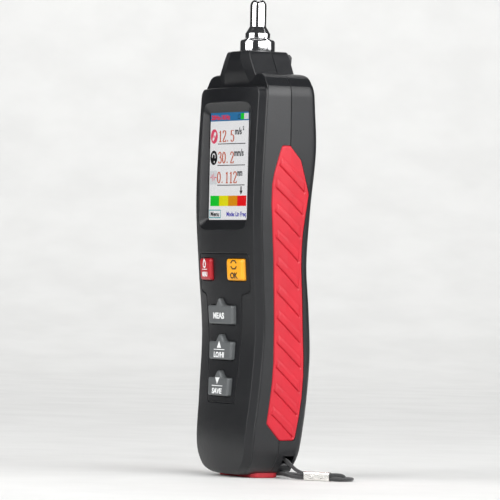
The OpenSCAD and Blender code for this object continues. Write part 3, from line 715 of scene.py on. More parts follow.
crimp_clip = make_crimp()
braid("strap_leash_braid", LEASH_POINTS, "strap_leash", (BAR_X + WRAP_R, 7.5, BAR_Z + 1),
      far_end="fitting", with_pieces=[crimp_clip])
braid("strap_loop_braid", LOOP_POINTS, "strap_loop", along_crimp(CRIMP_L, CRIMP_Z),
      far_end="fitting", with_pieces=[crimp_clip])


# ---------- casing ----------

def ring_heights(g, low, high, step):
    """Heights of the casing's sections, closer together where it curves."""
    bottom, top = BASE_GAP + g, BODY_H - g
    turn = np.radians(np.arange(0, 91, 5))
    z = np.concatenate([
        bottom + (BOTTOM_R - g) * (1 - np.cos(turn)),
        bottom + BOTTOM_EDGE * (1 - np.cos(turn)),
        np.arange(bottom + BOTTOM_R, BEZEL_TOP - BEZEL_R, step),
        BEZEL_TOP - g - BEZEL_R + BEZEL_R * np.sin(turn),
        BEZEL_TOP - g + np.linspace(-0.5, 0.4, 10),
        top - (TOP_R - g) * (1 - np.sin(turn[10:])),
        top - TOP_EDGE * (1 - np.sin(turn)),
    ])
    z = z[(z > max(low, bottom) + 0.05) & (z < min(high, top) - 0.05)]
    z = np.unique(np.round(np.concatenate([[max(low, bottom)], z, [min(high, top)]]), 3))
    return z[np.concatenate([[True], np.diff(z) > 0.02])]


def front_half(z, g):
    """Right half of the front section at height z, from the middle of the face to the parting plane."""
    b, f, r, w = (float(v(z, g)) for v in (bezel_half, bezel_y, rim_y, half_width))
    share = float(bezel_share(z, g))
    x = np.linspace(0, b - 1.0, 26)
    y = -(f + float(crown_y(z)) * share * (1 - (x / b) ** 2))
    end = np.array([x[-1], y[-1]])
    tail = [end, (b, -f), (b + 1.9, -r - 0.35 * share), (b + 2.5, -r), (w - FRONT_DRAFT, -r),
            (w, PART_Y - PART_CHAMFER), (w - PART_CHAMFER, PART_Y)]
    return [np.array(p) for p in zip(x[:-1], y[:-1])] + softened(tail, [0.8, 0.3, 0.3, 0.75, 0.2], 6)


def rear_half(z, g):
    """Right half of the rear section at height z, from the parting plane to the middle of the rear."""
    w, e = float(half_width(z, g)), float(rear_y(z, g))
    line = [(w - PART_CHAMFER, PART_Y), (w, PART_Y + PART_CHAMFER), (w - DRAFT, e - 0.5), (w * 0.4, e - 0.1)]
    rest = [(w * s, e - 0.1 * (s / 0.4) ** 2) for s in (0.3, 0.2, 0.1, 0)]
    return softened(line, [0.2, REAR_R - 0.6 * max(g, 0)], 9) + [np.array(p) for p in rest]


def casing_form(name, half, g=0.0, low=EVERYWHERE[0], high=EVERYWHERE[1], step=1.0):
    """A skin over the casing's sections; half gives the right half of a section, from its front to its rear."""
    rings = []
    for z in ring_heights(g, low, high, step):
        right = [(p[0], p[1], z) for p in half(z, g)]
        rings.append(right + [(-x, y, z) for x, y, z in reversed(right) if abs(x) > 1e-6])
    return loft(name, rings)


def room(g, low=EVERYWHERE[0], high=EVERYWHERE[1], step=2):
    """The casing's form, a little plainer, with its surface g further in."""
    return casing_form("room", whole_half_even, g, low, high, step)


def whole_half_even(z, g):
    """A section with the same number of points at every height."""
    b, f, r, w = (float(v(z, g)) for v in (bezel_half, bezel_y, rim_y, half_width))
    e = float(rear_y(z, g))
    c = float(crown_y(z)) * float(bezel_share(z, g))
    line = [(s * b, -f - c * (1 - s * s)) for s in (0, .25, .5, .75)] + [(b, -f), (b + 1.3, -r), (w, -r)]
    rr = REAR_R - 0.6 * g
    line += [(w, PART_Y), (w - DRAFT, e - 0.5 - rr), (w - DRAFT - 0.3 * rr, e - 0.5 - 0.3 * rr),
             (w - DRAFT - rr, e - 0.5), (w * 0.4, e - 0.1), (0, e)]
    return [np.array(p) for p in line]


def nose(name, front):
    """The eight-sided collar of the casing round the probe, with soft edges."""
    rings = []
    shape = np.array(NOSE_SHAPE)
    plain = [(drop, 0) for drop in (17.5, 14, 10.5, 8.4, 6.2, 4.35, 4, 3.65, 2.2, 0.9)]
    for drop, inset in plain + [(0.35, 0.15), (0.08, 0.4), (0, 0.8)]:
        c, w, f, fc = (np.interp(drop, shape[:, 0], shape[:, k]) - inset * (0.6 if k == 1 else 1)
                       for k in range(1, 5))
        line = [(c, -f), (w, -fc), (w, fc), (c, f), (-c, f), (-w, fc), (-w, -fc), (-c, -f)]
        rings.append([(p[0], p[1], NOSE_TOP - drop) for p in rounded(counterclockwise(line), 0.8, 4)])
    whole = loft(name, rings)
    for side in (-1, 1):
        edge = [(side * np.interp(d, shape[:, 0], shape[:, 2]), PART_Y, NOSE_TOP - d) for d in (13, 10.5, 7, 4, 2)]
        edge += [(side * x, PART_Y, NOSE_TOP + 0.05) for x in (10.5, 4)]
        cut(whole, seam("nose_seam", edge, 0.3, closed=False))
    low, high = ((-40, -40, 150), (40, PART_Y, 210)) if front else ((-40, PART_Y, 150), (40, 40, 210))
    return common(whole, block("half", low, high))


def plate_outline(by):
    moved = [(x + by, z - by if i else z + by) for i, (x, z) in enumerate(PLATE_POINTS)]
    return rounded(mirrored(moved), 2, 8)


def on_face(outline, out=0.0):
    """An XZ outline laid on the casing's front face, or that far in front of it."""
    p = np.array(outline, float)
    return np.stack([p[:, 0], -face_y(p[:, 0], p[:, 1]) - out, p[:, 1]], axis=1)


# Each key: (middle x, bottom, top, width at the bottom, width at the top, height of its bump, proud, round bump)
KEYS = {
    "power": (-14, 90, 99.9, 13, 13, 0, UPPER_PROUD, False),
    "ok": (14, 90, 99.9, 13, 13, 0, UPPER_PROUD, False),
    "measure": (0, 69.9, 78.5, 22.6, 23.4, 3.2, KEY_PROUD, False),
    "up": (0, 53.6, 62, 20.8, 21.6, 3.2, KEY_PROUD, True),
    "down": (0, 37, 45.4, 18.8, 19.4, 3.2, KEY_PROUD, True),
}


# Right half of a key's bump, above the key's top edge
POINTED_BUMP = [(3.8, 0), (2.2, 1), (1.3, 2.2), (0.7, 3.2)]
ROUND_BUMP = [(4.3, 0), (3, 1), (2.2, 2.2), (0.9, 3.2)]


def key_outline(k, by=0.0):
    x, low, high, w0, w1, bump, _, dome = k
    low, high, a, b = low - by, high + by, w0 / 2 + by, w1 / 2 + by
    half = [(max(q + by, 0.12), high + t) for q, t in (ROUND_BUMP if dome else POINTED_BUMP)] if bump else []
    top = [(x + q, t) for q, t in half] + [(x - q, t) for q, t in reversed(half)]
    return rounded([(x + a, low), (x + b, high), *top, (x - b, high), (x - a, low)], 0.9, 5)


def screen_outline(by=0.0, r=1.2):
    return rounded(rectangle(SCREEN_W + 2 * by, BOTTOM - by, TOP + by), r, 6)


def screen_recess():
    """The bevelled opening in front of the window, with softened outer and inner edges."""
    inner, outer = np.array(screen_outline()), np.array(screen_outline(4.1, 4))
    base = np.stack([inner[:, 0], np.full(len(inner), LIP_Y), inner[:, 1]], axis=1)
    rim = on_face(outer)
    rings = [base + (0, 3, 0), base]
    for t in (0.04, 0.5, 0.9, 0.96, 1.0):
        rings.append(base + (rim - base) * t + (0, 0.1 * math.sin(math.pi * t), 0))
    away = (rim - (0, 0, SCREEN_Z)) * (1, 0, 1)
    away /= np.linalg.norm(away, axis=1, keepdims=True)
    rings += [rim + away * wide - (0, out, 0) for out, wide in ((0.1, 0.16), (0.4, 0.6), (3, 1.5))]
    return loft("recess", rings)


# Outline of a grip seen from the side, as (depth, height)
GRIP_FRONT = [(-3.1, 151.9), (-4.8, 146.6), (-6.9, 139.2), (-7.8, 134), (-7.8, 125), (-6.9, 113.4),
              (-5.8, 99.6), (-4.9, 84), (-4.2, 69.6), (-3.8, 53.5), (-4.1, 44.3), (-5, 33.7), (-5.9, 25.2),
              (1.1, 17.5)]
GRIP_REAR = [(9.4, 17.5), (10, 20), (11.2, 28.1), (12.2, 37.3), (12.5, 47.5), (12.2, 56), (11.2, 69.6),
             (10.3, 84), (9.3, 97.3), (9.2, 106.5), (9.5, 112.5), (10.7, 121.3), (12, 130), (7.1, 145.5),
             (1.1, 151.9)]
GRIP_MIDDLE = (3, 84)
GRIP_IN, GRIP_PROUD, RIB_PROUD = 1, 0.6, 0.36
# Lower edge of each rib: (front depth, front height, rear depth, rear height)
RIBS = [(-4.1, 142.7, 9.2, 131), (-5.9, 132.8, 8.7, 120.6), (-5.7, 121.7, 7.7, 110.3), (-5, 110, 7.4, 99.2),
        (-4, 97.6, 7.8, 87), (-3.3, 85, 8.9, 74.2), (-2.8, 73.3, 9.7, 62.3), (-2.4, 62, 10.4, 50.9),
        (-2.4, 50.9, 10.3, 39.9), (-2.8, 40.1, 9.7, 29.3), (-3.7, 29.5, 8.3, 19.1)]


def grip_outline(by=0.0):
    line = []
    for p in rounded(GRIP_FRONT + GRIP_REAR, 1.6, 4):
        away = p - np.array(GRIP_MIDDLE)
        line.append(p + by * away / np.linalg.norm(away))
    return counterclockwise(distinct(line))


def side_x(y, z):
    """Half the casing's width at depth y and height z, beside the rim's rounded edge."""
    w, f, e = half_width(z), rim_y(z), rear_y(z)
    lean = DRAFT * np.clip((y - PART_Y) / np.maximum(e - REAR_R - PART_Y, 1), 0, 1)
    lean = lean + FRONT_DRAFT * np.clip((PART_Y - y) / (f + PART_Y), 0, 1)
    return w - lean - cut_in(REAR_R, e - 0.5 - y)


def side_slab(name, side, outline, *layers):
    """A solid on the casing's side, between two (half widths, points, triangles) that share an outline."""
    points = [(side * x, p[0], p[1]) for widths, spots, _ in layers for x, p in zip(widths, spots)]
    n, m = len(layers[0][1]), len(outline)
    faces = [tuple(t) for t in layers[0][2]] + [tuple(n + i for i in reversed(t)) for t in layers[1][2]]
    faces += [(i, (i + 1) % m, n + (i + 1) % m, n + i) for i in range(m)]
    return outward(mesh_object(name, points, faces))


def grip_seat(side):
    """What the casing loses to one grip, following the casing's side."""
    outline = grip_outline(FIT)
    points, triangles = filled(outline, 1.6)
    return side_slab("seat", side, outline, (side_x(*points.T) - GRIP_IN, points, triangles),
                     (np.full(len(points), 40), points, triangles))


def filled(outline, step):
    """Points and triangles that fill a closed outline; the outline's own points come first."""
    edge = [Vector((float(p[0]), float(p[1]))) for p in outline]
    p = np.array([(q.x, q.y) for q in edge])
    low, high = p.min(0), p.max(0)
    xs = np.arange(low[0] + step / 2, high[0], step)
    ys = np.arange(low[1] + step / 2, high[1], step)
    gx, gy = np.meshgrid(xs, ys)
    gx = gx + (np.arange(len(ys)) % 2)[:, None] * step / 2
    grid = np.stack([gx.ravel(), gy.ravel()], axis=1)
    grid = grid[signed_distance(grid, p) < -0.45 * step]
    verts = edge + [Vector(q) for q in grid]
    edges = [(i, (i + 1) % len(edge)) for i in range(len(edge))]
    co, _, faces, origin, _, _ = delaunay_2d_cdt(verts, edges, [list(range(len(edge)))], 1, 1e-5)
    if len(co) != len(verts):
        raise ValueError(f"an outline has points that merge: {len(verts)} became {len(co)}")
    order = np.zeros(len(co), int)
    for i, source in enumerate(origin):
        order[i] = source[0]
    points = np.zeros((len(co), 2))
    points[order] = [(q.x, q.y) for q in co]
    return points, [[int(order[i]) for i in f] for f in faces]


def signed_distance(points, outline):
    """Distance of points from a closed outline: negative inside."""
    p, q = np.array(outline, float), np.roll(np.array(outline, float), -1, axis=0)
    best = np.full(len(points), np.inf)
    crossings = np.zeros(len(points), int)
    for a, b in zip(p, q):
        d = b - a
        t = np.clip(((points - a) @ d) / max(d @ d, 1e-12), 0, 1)
        best = np.minimum(best, np.linalg.norm(points - a - t[:, None] * d, axis=1))
        over = (a[1] > points[:, 1]) != (b[1] > points[:, 1])
        if abs(d[1]) > 1e-12:
            at = a[0] + (points[:, 1] - a[1]) / d[1] * d[0]
            crossings += (over & (points[:, 0] < at)).astype(int)
    return np.where(crossings % 2 == 1, -best, best)


def make_grip(side):
    """One rubber grip: a soft-edged pad with raised ribs whose lower edges are crisp."""
    outline = dense(grip_outline(), 0.5)
    points, triangles = filled(outline, 0.27)
    seat_points, seat_triangles = filled(outline, 2.2)
    edge = -signed_distance(points, outline)
    height = GRIP_PROUD * np.sqrt(np.clip(1 - (1 - np.clip(edge / 0.8, 0, 1)) ** 2, 0, 1)) - 0.12
    for y0, z0, y1, z1 in RIBS:
        a, b = np.array([y0, z0]), np.array([y1, z1])
        corners = [a, b, (y1 + 0.2, z1 + 4.5), (y0 + 0.7, z0 + 3.7)]
        rib = signed_distance(points, corners)
        along = (b - a) / np.linalg.norm(b - a)
        up = (points - a) @ np.array([-along[1], along[0]]) * (1 if along[0] > 0 else -1)
        soft = 0.3 + 1.1 * smooth_step(up / 3)
        height = height + RIB_PROUD * smooth_step((0.1 - rib) / soft)
        height = height - (0.12 + 0.26 * np.exp(-(up / 0.7) ** 2)) * np.exp(-((rib - 0.15) / 0.34) ** 2)
    node = "grip_right" if side > 0 else "grip_left"
    pad = side_slab(node + "_pad", side, outline, (side_x(*points.T) + height, points, triangles),
                    (side_x(*seat_points.T) - GRIP_IN + FIT, seat_points, seat_triangles))
    return place(pad, "casing", mat["grip"], [node], angle=40, weighted=False)


POST_SPOTS = [(s * x, z) for x, z in ((16.4, 31), (17.8, 65), (20.2, 105.2)) for s in (-1, 1)]
SCREW_SPOTS = [(s * x, z) for x, z in ((15, 177), (22.8, 78)) for s in (-1, 1)]
SCREW_HOLE_R, POST_HOLE_R, HEAD_HOLE_R = 1.2, 1, 2.3
HEAD_Y = 6.5
BOARD_Y = -5


def pad_outline(by, r=3.5):
    return rounded(rectangle(34 + 2 * by, -7 - by, 7 + by), r, 8)


def finish_half(case, ribs, gap):
    """Adds ribs to one half of the casing, and cuts the seats that both halves share."""
    for rib in ribs:
        add(case, common(rib, room(gap, step=3)))
    cut(case, upright("neck", circle(0, 0, 5.3, 64), BODY_H - 4, BODY_H + 16), grip_seat(1), grip_seat(-1),
        upright("pad_seat", pad_outline(0.05), -1, 2.4))


def make_front_case():
    case = casing_form("front_case", front_half)
    add(case, nose("front_nose", True))
    cut(case, room(WALL, step=4))
    ribs = [pillar("post", x, z, 2.6, -14, PART_Y) for x, z in SCREW_SPOTS]
    ribs += [pillar("post", x, z, 1.9, -14.5, BOARD_Y) for x, z in POST_SPOTS]
    ribs += [across("backing", rectangle(48, BOTTOM - 6.4, TOP + 6.4), -20, LIP_Y + 2.2)]
    finish_half(case, ribs, 1)
    cut(case, screen_recess())
    cut(case, across("window", rounded(rectangle(42.2, SCREEN_Z - 27.1, SCREEN_Z + 27.1), 1.5), WINDOW_Y, -10))
    cut(case, across("glass", rectangle(GLASS_W + 0.3, GLASS_LOW - 0.15, GLASS_HIGH + 0.15), WINDOW_BACK, -8))
    seat = across("plate_seat", plate_outline(FIT), -20, -8)
    cut(seat, room(PLATE_T, 28, 108))
    cut(case, seat, across("plate_hole", plate_outline(-1.2), -20, -8))
    cut(case, seam("plate_seam", on_face(dense(plate_outline(FIT / 2), 1.2)), 0.4))
    cut(case, *[pillar("screw", x, z, SCREW_HOLE_R, -8, 2) for x, z in SCREW_SPOTS])
    cut(case, *[pillar("screw", x, z, POST_HOLE_R, -9.4, 0) for x, z in POST_SPOTS])
    return place(case, "casing", mat["shell"], ["front_shell"])


TRAY_Y = 0.2
DOOR_HALF, DOOR_LOW, DOOR_HIGH, DOOR_T = 18.6, 17, 70.4, 2
PIVOT_Y, PIVOT_Z = 13, 13.6
BARREL_R, BARREL_HALF, SWING_R = 1.4, 15, 4.4


def door_outline(by):
    return rounded(rectangle(2 * (DOOR_HALF + by), DOOR_LOW - by, DOOR_HIGH + by), 1.5, 6)


def on_rear(outline):
    """An XZ outline laid on the casing's rear face."""
    p = np.array(outline, float)
    x, z = np.abs(p[:, 0]), p[:, 1]
    w = half_width(z)
    flat = 0.4 * w
    dip = 0.1 * np.minimum(x / flat, 1) ** 2 + 0.4 * np.clip((x - flat) / (w - DRAFT - flat), 0, 1)
    return np.stack([p[:, 0], rear_y(z) - dip, z], axis=1)


def lug():
    """The small block behind the nose."""
    line = [(8, 1.5), (13.5, 2.5), (16, 4.8), (16.3, 8.6), (15.2, 9.8), (8, NOSE_H - 0.3)]
    side = rounded(shifted(line, 0, BODY_H), 0.7, 4)
    rings = []
    for x, inset in ((-4, 0.5), (-3.85, 0.15), (-3.5, 0), (3.5, 0), (3.85, 0.15), (4, 0.5)):
        rings.append([(x, p[0], p[1]) for p in offset(counterclockwise(side), -inset)])
    return loft("lug", rings)


def make_rear_case():
    case = casing_form("rear_case", rear_half)
    add(case, nose("rear_nose", False), lug())
    cut(case, room(WALL, step=4))
    ribs = [pillar("post", x, z, 3.2, PART_Y, 20) for x, z in SCREW_SPOTS]
    ribs += [block("tray", (-20.4, TRAY_Y, 16), (20.4, 20, 72.6)),
             block("hinge_block", (-BARREL_HALF - 1.5, 9.4, 9), (BARREL_HALF + 1.5, 20, 17)),
             block("bar_block", (11, PART_Y, 0), (29, 13, 13))]
    finish_half(case, ribs, 0.8)
    cut(case, block("pocket", (-16.8, TRAY_Y + 1.2, 20), (16.8, 30, 67.8)))
    seat = across("door_seat", door_outline(0.2), 8, 30)
    cut(seat, room(DOOR_T + 0.1, 8, 76))
    cut(case, seat, rail("swing", PIVOT_Y, PIVOT_Z, 2.4, BARREL_HALF + 0.2))
    cut(case, block("swing", (-BARREL_HALF - 0.2, PIVOT_Y - 0.3, PIVOT_Z), (BARREL_HALF + 0.2, 20, DOOR_LOW + 2.2)))
    cut(case, rail("pin", PIVOT_Y, PIVOT_Z, 0.62, BARREL_HALF + 1.4))
    cut(case, seam("door_seam", on_rear(dense(door_outline(0.1), 1.2)), 0.3))
    for x, z in SCREW_SPOTS:
        cut(case, pillar("screw", x, z, SCREW_HOLE_R, 0, 10), pillar("head", x, z, HEAD_HOLE_R, HEAD_Y, 30))
        rim_depth = float(rear_y(z)) - 0.25
        cut(case, seam("rim", [(a, rim_depth, b) for a, b in circle(x, z, HEAD_HOLE_R, 40)], 0.35))
    cut(case, across("notch", rounded([(12.8, -3), (40, -3), (40, 10.4), (12.8, 10.4)], 1.2, 5), 4.6, 10.4))
    cut(case, pillar("bar_hole", BAR_X, BAR_Z, BAR_R + 0.02, 3, 11.6))
    return place(case, "casing", mat["shell"], ["rear_shell"])


def make_plate():
    plate = across("keypad_plate", plate_outline(0), -20, -8)
    common(plate, casing_form("face", front_half, 0, 30, 106, step=0.8))
    cut(plate, room(PLATE_T, 28, 108))
    cut(plate, *[across("key_hole", key_outline(k, 0.2), -22, -5) for k in KEYS.values()])
    cut(plate, seam("plate_seam", on_face(dense(plate_outline(-FIT / 2), 1.2)), 0.38))
    for k in KEYS.values():
        cut(plate, seam("key_seam", on_face(dense(key_outline(k, 0.2), 1.2)), 0.28))
    return place(plate, "casing", mat["plate"], ["key_plate"])


def make_door():
    door = across("battery_cover", door_outline(0), 8, 22)
    common(door, casing_form("rear", whole_half_fine, 0, 11, 74, step=0.8))
    cut(door, room(DOOR_T, 8, 76))
    for s in (-1, 1):
        corner_cut = rail("swing", PIVOT_Y, PIVOT_Z, SWING_R, 5)
        corner_cut.data.transform(Matrix.Translation((s * (BARREL_HALF + 5), 0, 0)))
        cut(door, corner_cut)
    add(door, rail("barrel", PIVOT_Y, PIVOT_Z, BARREL_R, BARREL_HALF))
    add(door, block("web", (-BARREL_HALF, PIVOT_Y, PIVOT_Z), (BARREL_HALF, PIVOT_Y + 1.2, DOOR_LOW + 1)))
    tongue = block("tongue", (-BARREL_HALF, PIVOT_Y - 0.1, PIVOT_Z + 2), (BARREL_HALF, 18, DOOR_LOW + 2))
    common(tongue, casing_form("rear", whole_half_fine, 0, 11, 74, step=2))
    add(door, tongue)
    cut(door, rail("pin", PIVOT_Y, PIVOT_Z, 0.65, 20))
    cut(door, seam("door_seam", on_rear(dense(door_outline(-0.1), 1.2)), 0.25))
    for z in (65, 63, 61, 59):
        cut(door, rail("groove", float(rear_y(z - 1)) + 1.2, z, 1.7, 6))
    return place(door, "door", mat["door"], ["battery_door"])


def whole_half_fine(z, g):
    w = float(half_width(z, g))
    front = [(0, -6), (w - 2, -6), (w, -4)]
    return [np.array(p) for p in front] + rear_half(z, g)


# ---------- keys ----------

def key_cap(name, k):
    """A key's cap: crowned like the casing's face, with rounded edges, a flange and a stem behind it."""
    x, low, high, _, _, bump, proud, _ = k
    z = (low + high) / 2
    centre = np.array([x, z + bump * 0.12])
    base = counterclockwise(key_outline(k))
    counts = [max(1, math.ceil(math.dist(a, b) / 0.7)) for a, b in zip(base, base[1:] + base[:1])]
    soft, inset, hollow = (1.0, 0.8, 0.12) if bump else (1.3, 1.5, 0.05)
    under = -PLATE_T - FIT

    def outline(by):
        line = counterclockwise(key_outline(k, by))
        return np.array([a + (b - a) * i / n for a, b, n in zip(line, line[1:] + line[:1], counts)
                         for i in range(n)])

    wide, inner = outline(FLANGE), outline(-inset)
    rings = [on_face(centre + (wide - centre) * share, under - 1) for share in (0.05, 0.5, 1)]
    rings += [on_face(wide, under), on_face(outline(0.01), under), on_face(outline(0), proud - soft)]
    rings += [on_face(outline(-inset * (1 - math.cos(a))), proud - soft * (1 - math.sin(a)))
              for a in np.radians(np.arange(15, 91, 15))]
    rings += [on_face(centre + (inner - centre) * share, proud - hollow * (1 - share))
              for share in (0.86, 0.7, 0.5, 0.3, 0.1)]
    return add(loft(name, rings), pillar("stem", x, z, 2, -float(face_y(x, z, 2)), -9.2))


SLAB = 0.04  # half the thickness of a flat shape


def printed(name, k, flat):
    """Lays flat shapes, drawn in XZ, on a key as a thin print."""
    bm = bmesh.new()
    for piece in flat:
        bm.from_mesh(piece.data)
        bpy.data.objects.remove(piece)
    for _ in range(3):
        bmesh.ops.triangulate(bm, faces=bm.faces)
        bmesh.ops.subdivide_edges(bm, edges=[e for e in bm.edges if e.calc_length() > 1.2], cuts=1)
    bmesh.ops.triangulate(bm, faces=bm.faces)
    for v in bm.verts:
        v.co.y = -float(face_y(v.co.x, v.co.z)) - k[6] - 0.05 - v.co.y
    mesh = bpy.data.meshes.new(name)
    bm.to_mesh(mesh)
    bm.free()
    return outward(new_object(name, mesh))


def words(text, x, z, height, width, bold, align="CENTER"):
    """Lettering in the XZ plane: capitals height high and a given width in all, centred on z, Y as thickness."""
    data = bpy.data.curves.new("words", "FONT")
    data.body = text
    data.size = height / 0.72
    data.offset = bold
    data.extrude = SLAB
    data.resolution_u = 5
    obj = new_object("words", data)
    mesh = finished_mesh(obj)
    bpy.data.objects.remove(obj)
    bpy.data.curves.remove(data)
    ends = [v.co.x for v in mesh.vertices]
    wide = width / (max(ends) - min(ends))
    start = x - wide * min(ends) - (width / 2 if align == "CENTER" else 0)
    mesh.transform(Matrix(((wide, 0, 0, start), (0, 0, 1, 0), (0, 1, 0, z - height / 2), (0, 0, 0, 1))))
    return new_object("words", mesh)


def tile(points):
    """A flat shape in the XZ plane."""
    return across("tile", points, -SLAB, SLAB)


def bar(x0, x1, z, thick):
    return tile([(x0, z - thick / 2), (x1, z - thick / 2), (x1, z + thick / 2), (x0, z + thick / 2)])


def stroke(points, thick, closed=False):
    """A line of even thickness drawn through points in the XZ plane."""
    p = np.array(points, float)
    side = headings(p, closed)[:, ::-1] * (-thick / 2, thick / 2)
    rings = [[(a[0], -SLAB, a[1]), (a[0], SLAB, a[1]), (b[0], SLAB, b[1]), (b[0], -SLAB, b[1])]
             for a, b in zip(p + side, p - side)]
    return loft("stroke", rings, closed=closed)


def arc(x, z, r, start, end):
    return [(x + r * math.cos(a), z + r * math.sin(a)) for a in np.radians(np.linspace(start, end, 25))]


def key_marks(name, k):
    """What is printed on each key."""
    x, low, high = k[:3]
    z = (low + high) / 2
    if name == "power":
        drop = [(0, 4.5), (0.9, 3.5), (1.5, 2.3), (1.2, 1.2), (0, 0.8), (-1.2, 1.2), (-1.5, 2.3), (-0.9, 3.5)]
        return [stroke(shifted(drop, x, z), 0.75, closed=True), bar(x - 3, x + 3, z - 0.1, 0.36),
                words("MENU", x, z - 2.3, 2.1, 6.2, 0.12)]
    if name == "ok":
        marks = [words("OK", x, z - 2.6, 2.7, 5.8, 0.1)]
        for dz, s in ((2.9, 1), (1.6, -1)):
            chevron = [(-2.2, 0), (-1, 1.2 * s), (1, 1.2 * s), (2.2, 0)]
            marks.append(stroke(shifted(chevron, x, z + dz), 0.6))
        return marks
    if name == "measure":
        return [words("MEAS", x - 0.5, z - 0.4, 2.7, 10.4, 0.14)]
    text, s, width = ("LO/HI", 1, 9.6) if name == "up" else ("SAVE", -1, 9.2)
    tip, foot = (z + 4.2, z + 1.2) if s > 0 else (z + 1.2, z + 4.2)
    return [tile(counterclockwise([(x - 2, foot), (x + 2, foot), (x, tip)])),
            bar(x - 5, x + 5, z + 0.4, 0.36), words(text, x, z - 1.9, 2.4, width, 0.12)]


def make_keys():
    looks = {"power": ("red_key", "ink"), "ok": ("yellow_key", "dark_ink")}
    for name, k in KEYS.items():
        slot, ink = looks.get(name, ("grey_key", "ink"))
        body = name + "_key"
        place(key_cap(name + "_cap", k), body, mat[slot], ["key_" + name], angle=50, weighted=False)
        place(printed(name + "_print", k, key_marks(name, k)), body, mat[ink], angle=30, weighted=False)


# ---------- display ----------

PAGE_COLOURS = {
    "white": (0.93, 0.93, 0.94), "bar_blue": (0.025, 0.18, 0.40), "red": (0.90, 0.004, 0.008),
    "pink": (0.80, 0.07, 0.15), "black": (0.004, 0.004, 0.005), "orange": (0.60, 0.085, 0.01),
    "grey": (0.03, 0.03, 0.035), "faint": (0.74, 0.76, 0.78), "green": (0.0, 0.62, 0.02),
    "yellow": (0.86, 0.80, 0.0), "amber": (0.80, 0.30, 0.0), "teal": (0.02, 0.36, 0.40),
    "violet": (0.04, 0.03, 0.45),
}


def page_place(u, v):
    """A point of the display's page, given as shares of its width and of its height from the top."""
    return (u - 0.5) * SCREEN_W, TOP - v * SCREEN_H


def page_box(u0, v0, u1, v1, r=0.0):
    (x0, z1), (x1, z0) = page_place(u0, v0), page_place(u1, v1)
    points = [(x0, z0), (x1, z0), (x1, z1), (x0, z1)]
    return rounded(points, r, 4) if r else points


# The display's digits, as lines in a cell 1 wide and 1.8 high
DIGITS = {
    "0": [[(0.5 + 0.42 * math.cos(a), 0.9 + 0.9 * math.sin(a)) for a in np.radians(np.arange(0, 361, 20))]],
    "1": [[(0.2, 1.5), (0.45, 1.62), (0.52, 1.8), (0.52, 0)], [(0.2, 0), (0.84, 0)]],
    "2": [[(0.08, 1.36), (0.12, 1.62), (0.32, 1.8), (0.62, 1.8), (0.86, 1.62), (0.88, 1.3), (0.7, 0.95), (0.1, 0.05)],
          [(0.06, 0), (0.9, 0), (0.93, 0.3)]],
    "3": [[(0.1, 1.42), (0.16, 1.66), (0.36, 1.8), (0.62, 1.78), (0.82, 1.6), (0.8, 1.2), (0.6, 0.99), (0.36, 0.96)],
          [(0.6, 0.97), (0.86, 0.78), (0.92, 0.45), (0.8, 0.12), (0.52, 0), (0.24, 0.04), (0.08, 0.3)]],
    "5": [[(0.86, 1.8), (0.16, 1.8), (0.13, 1.0), (0.4, 1.1), (0.7, 1.04), (0.9, 0.8), (0.92, 0.42), (0.76, 0.1),
           (0.46, 0), (0.18, 0.05), (0.08, 0.3)]],
    ".": [[(0.22, 0.0), (0.3, 0.12), (0.22, 0.2)]],
}


def digits(text, x, z, height, pitch):
    """Digits with thick uprights and thin level strokes, from x rightwards and centred on z."""
    made = []
    for i, letter in enumerate(text):
        for line in DIGITS[letter]:
            piece = stroke([(a * 0.3, b / 1.8) for a, b in line], 0.095)
            piece.data.transform(Matrix(((pitch * 2.75, 0, 0, x + pitch * i), (0, 1, 0, 0),
                                         (0, 0, height, z - height / 2), (0, 0, 0, 1))))
            made.append(piece)
    return made


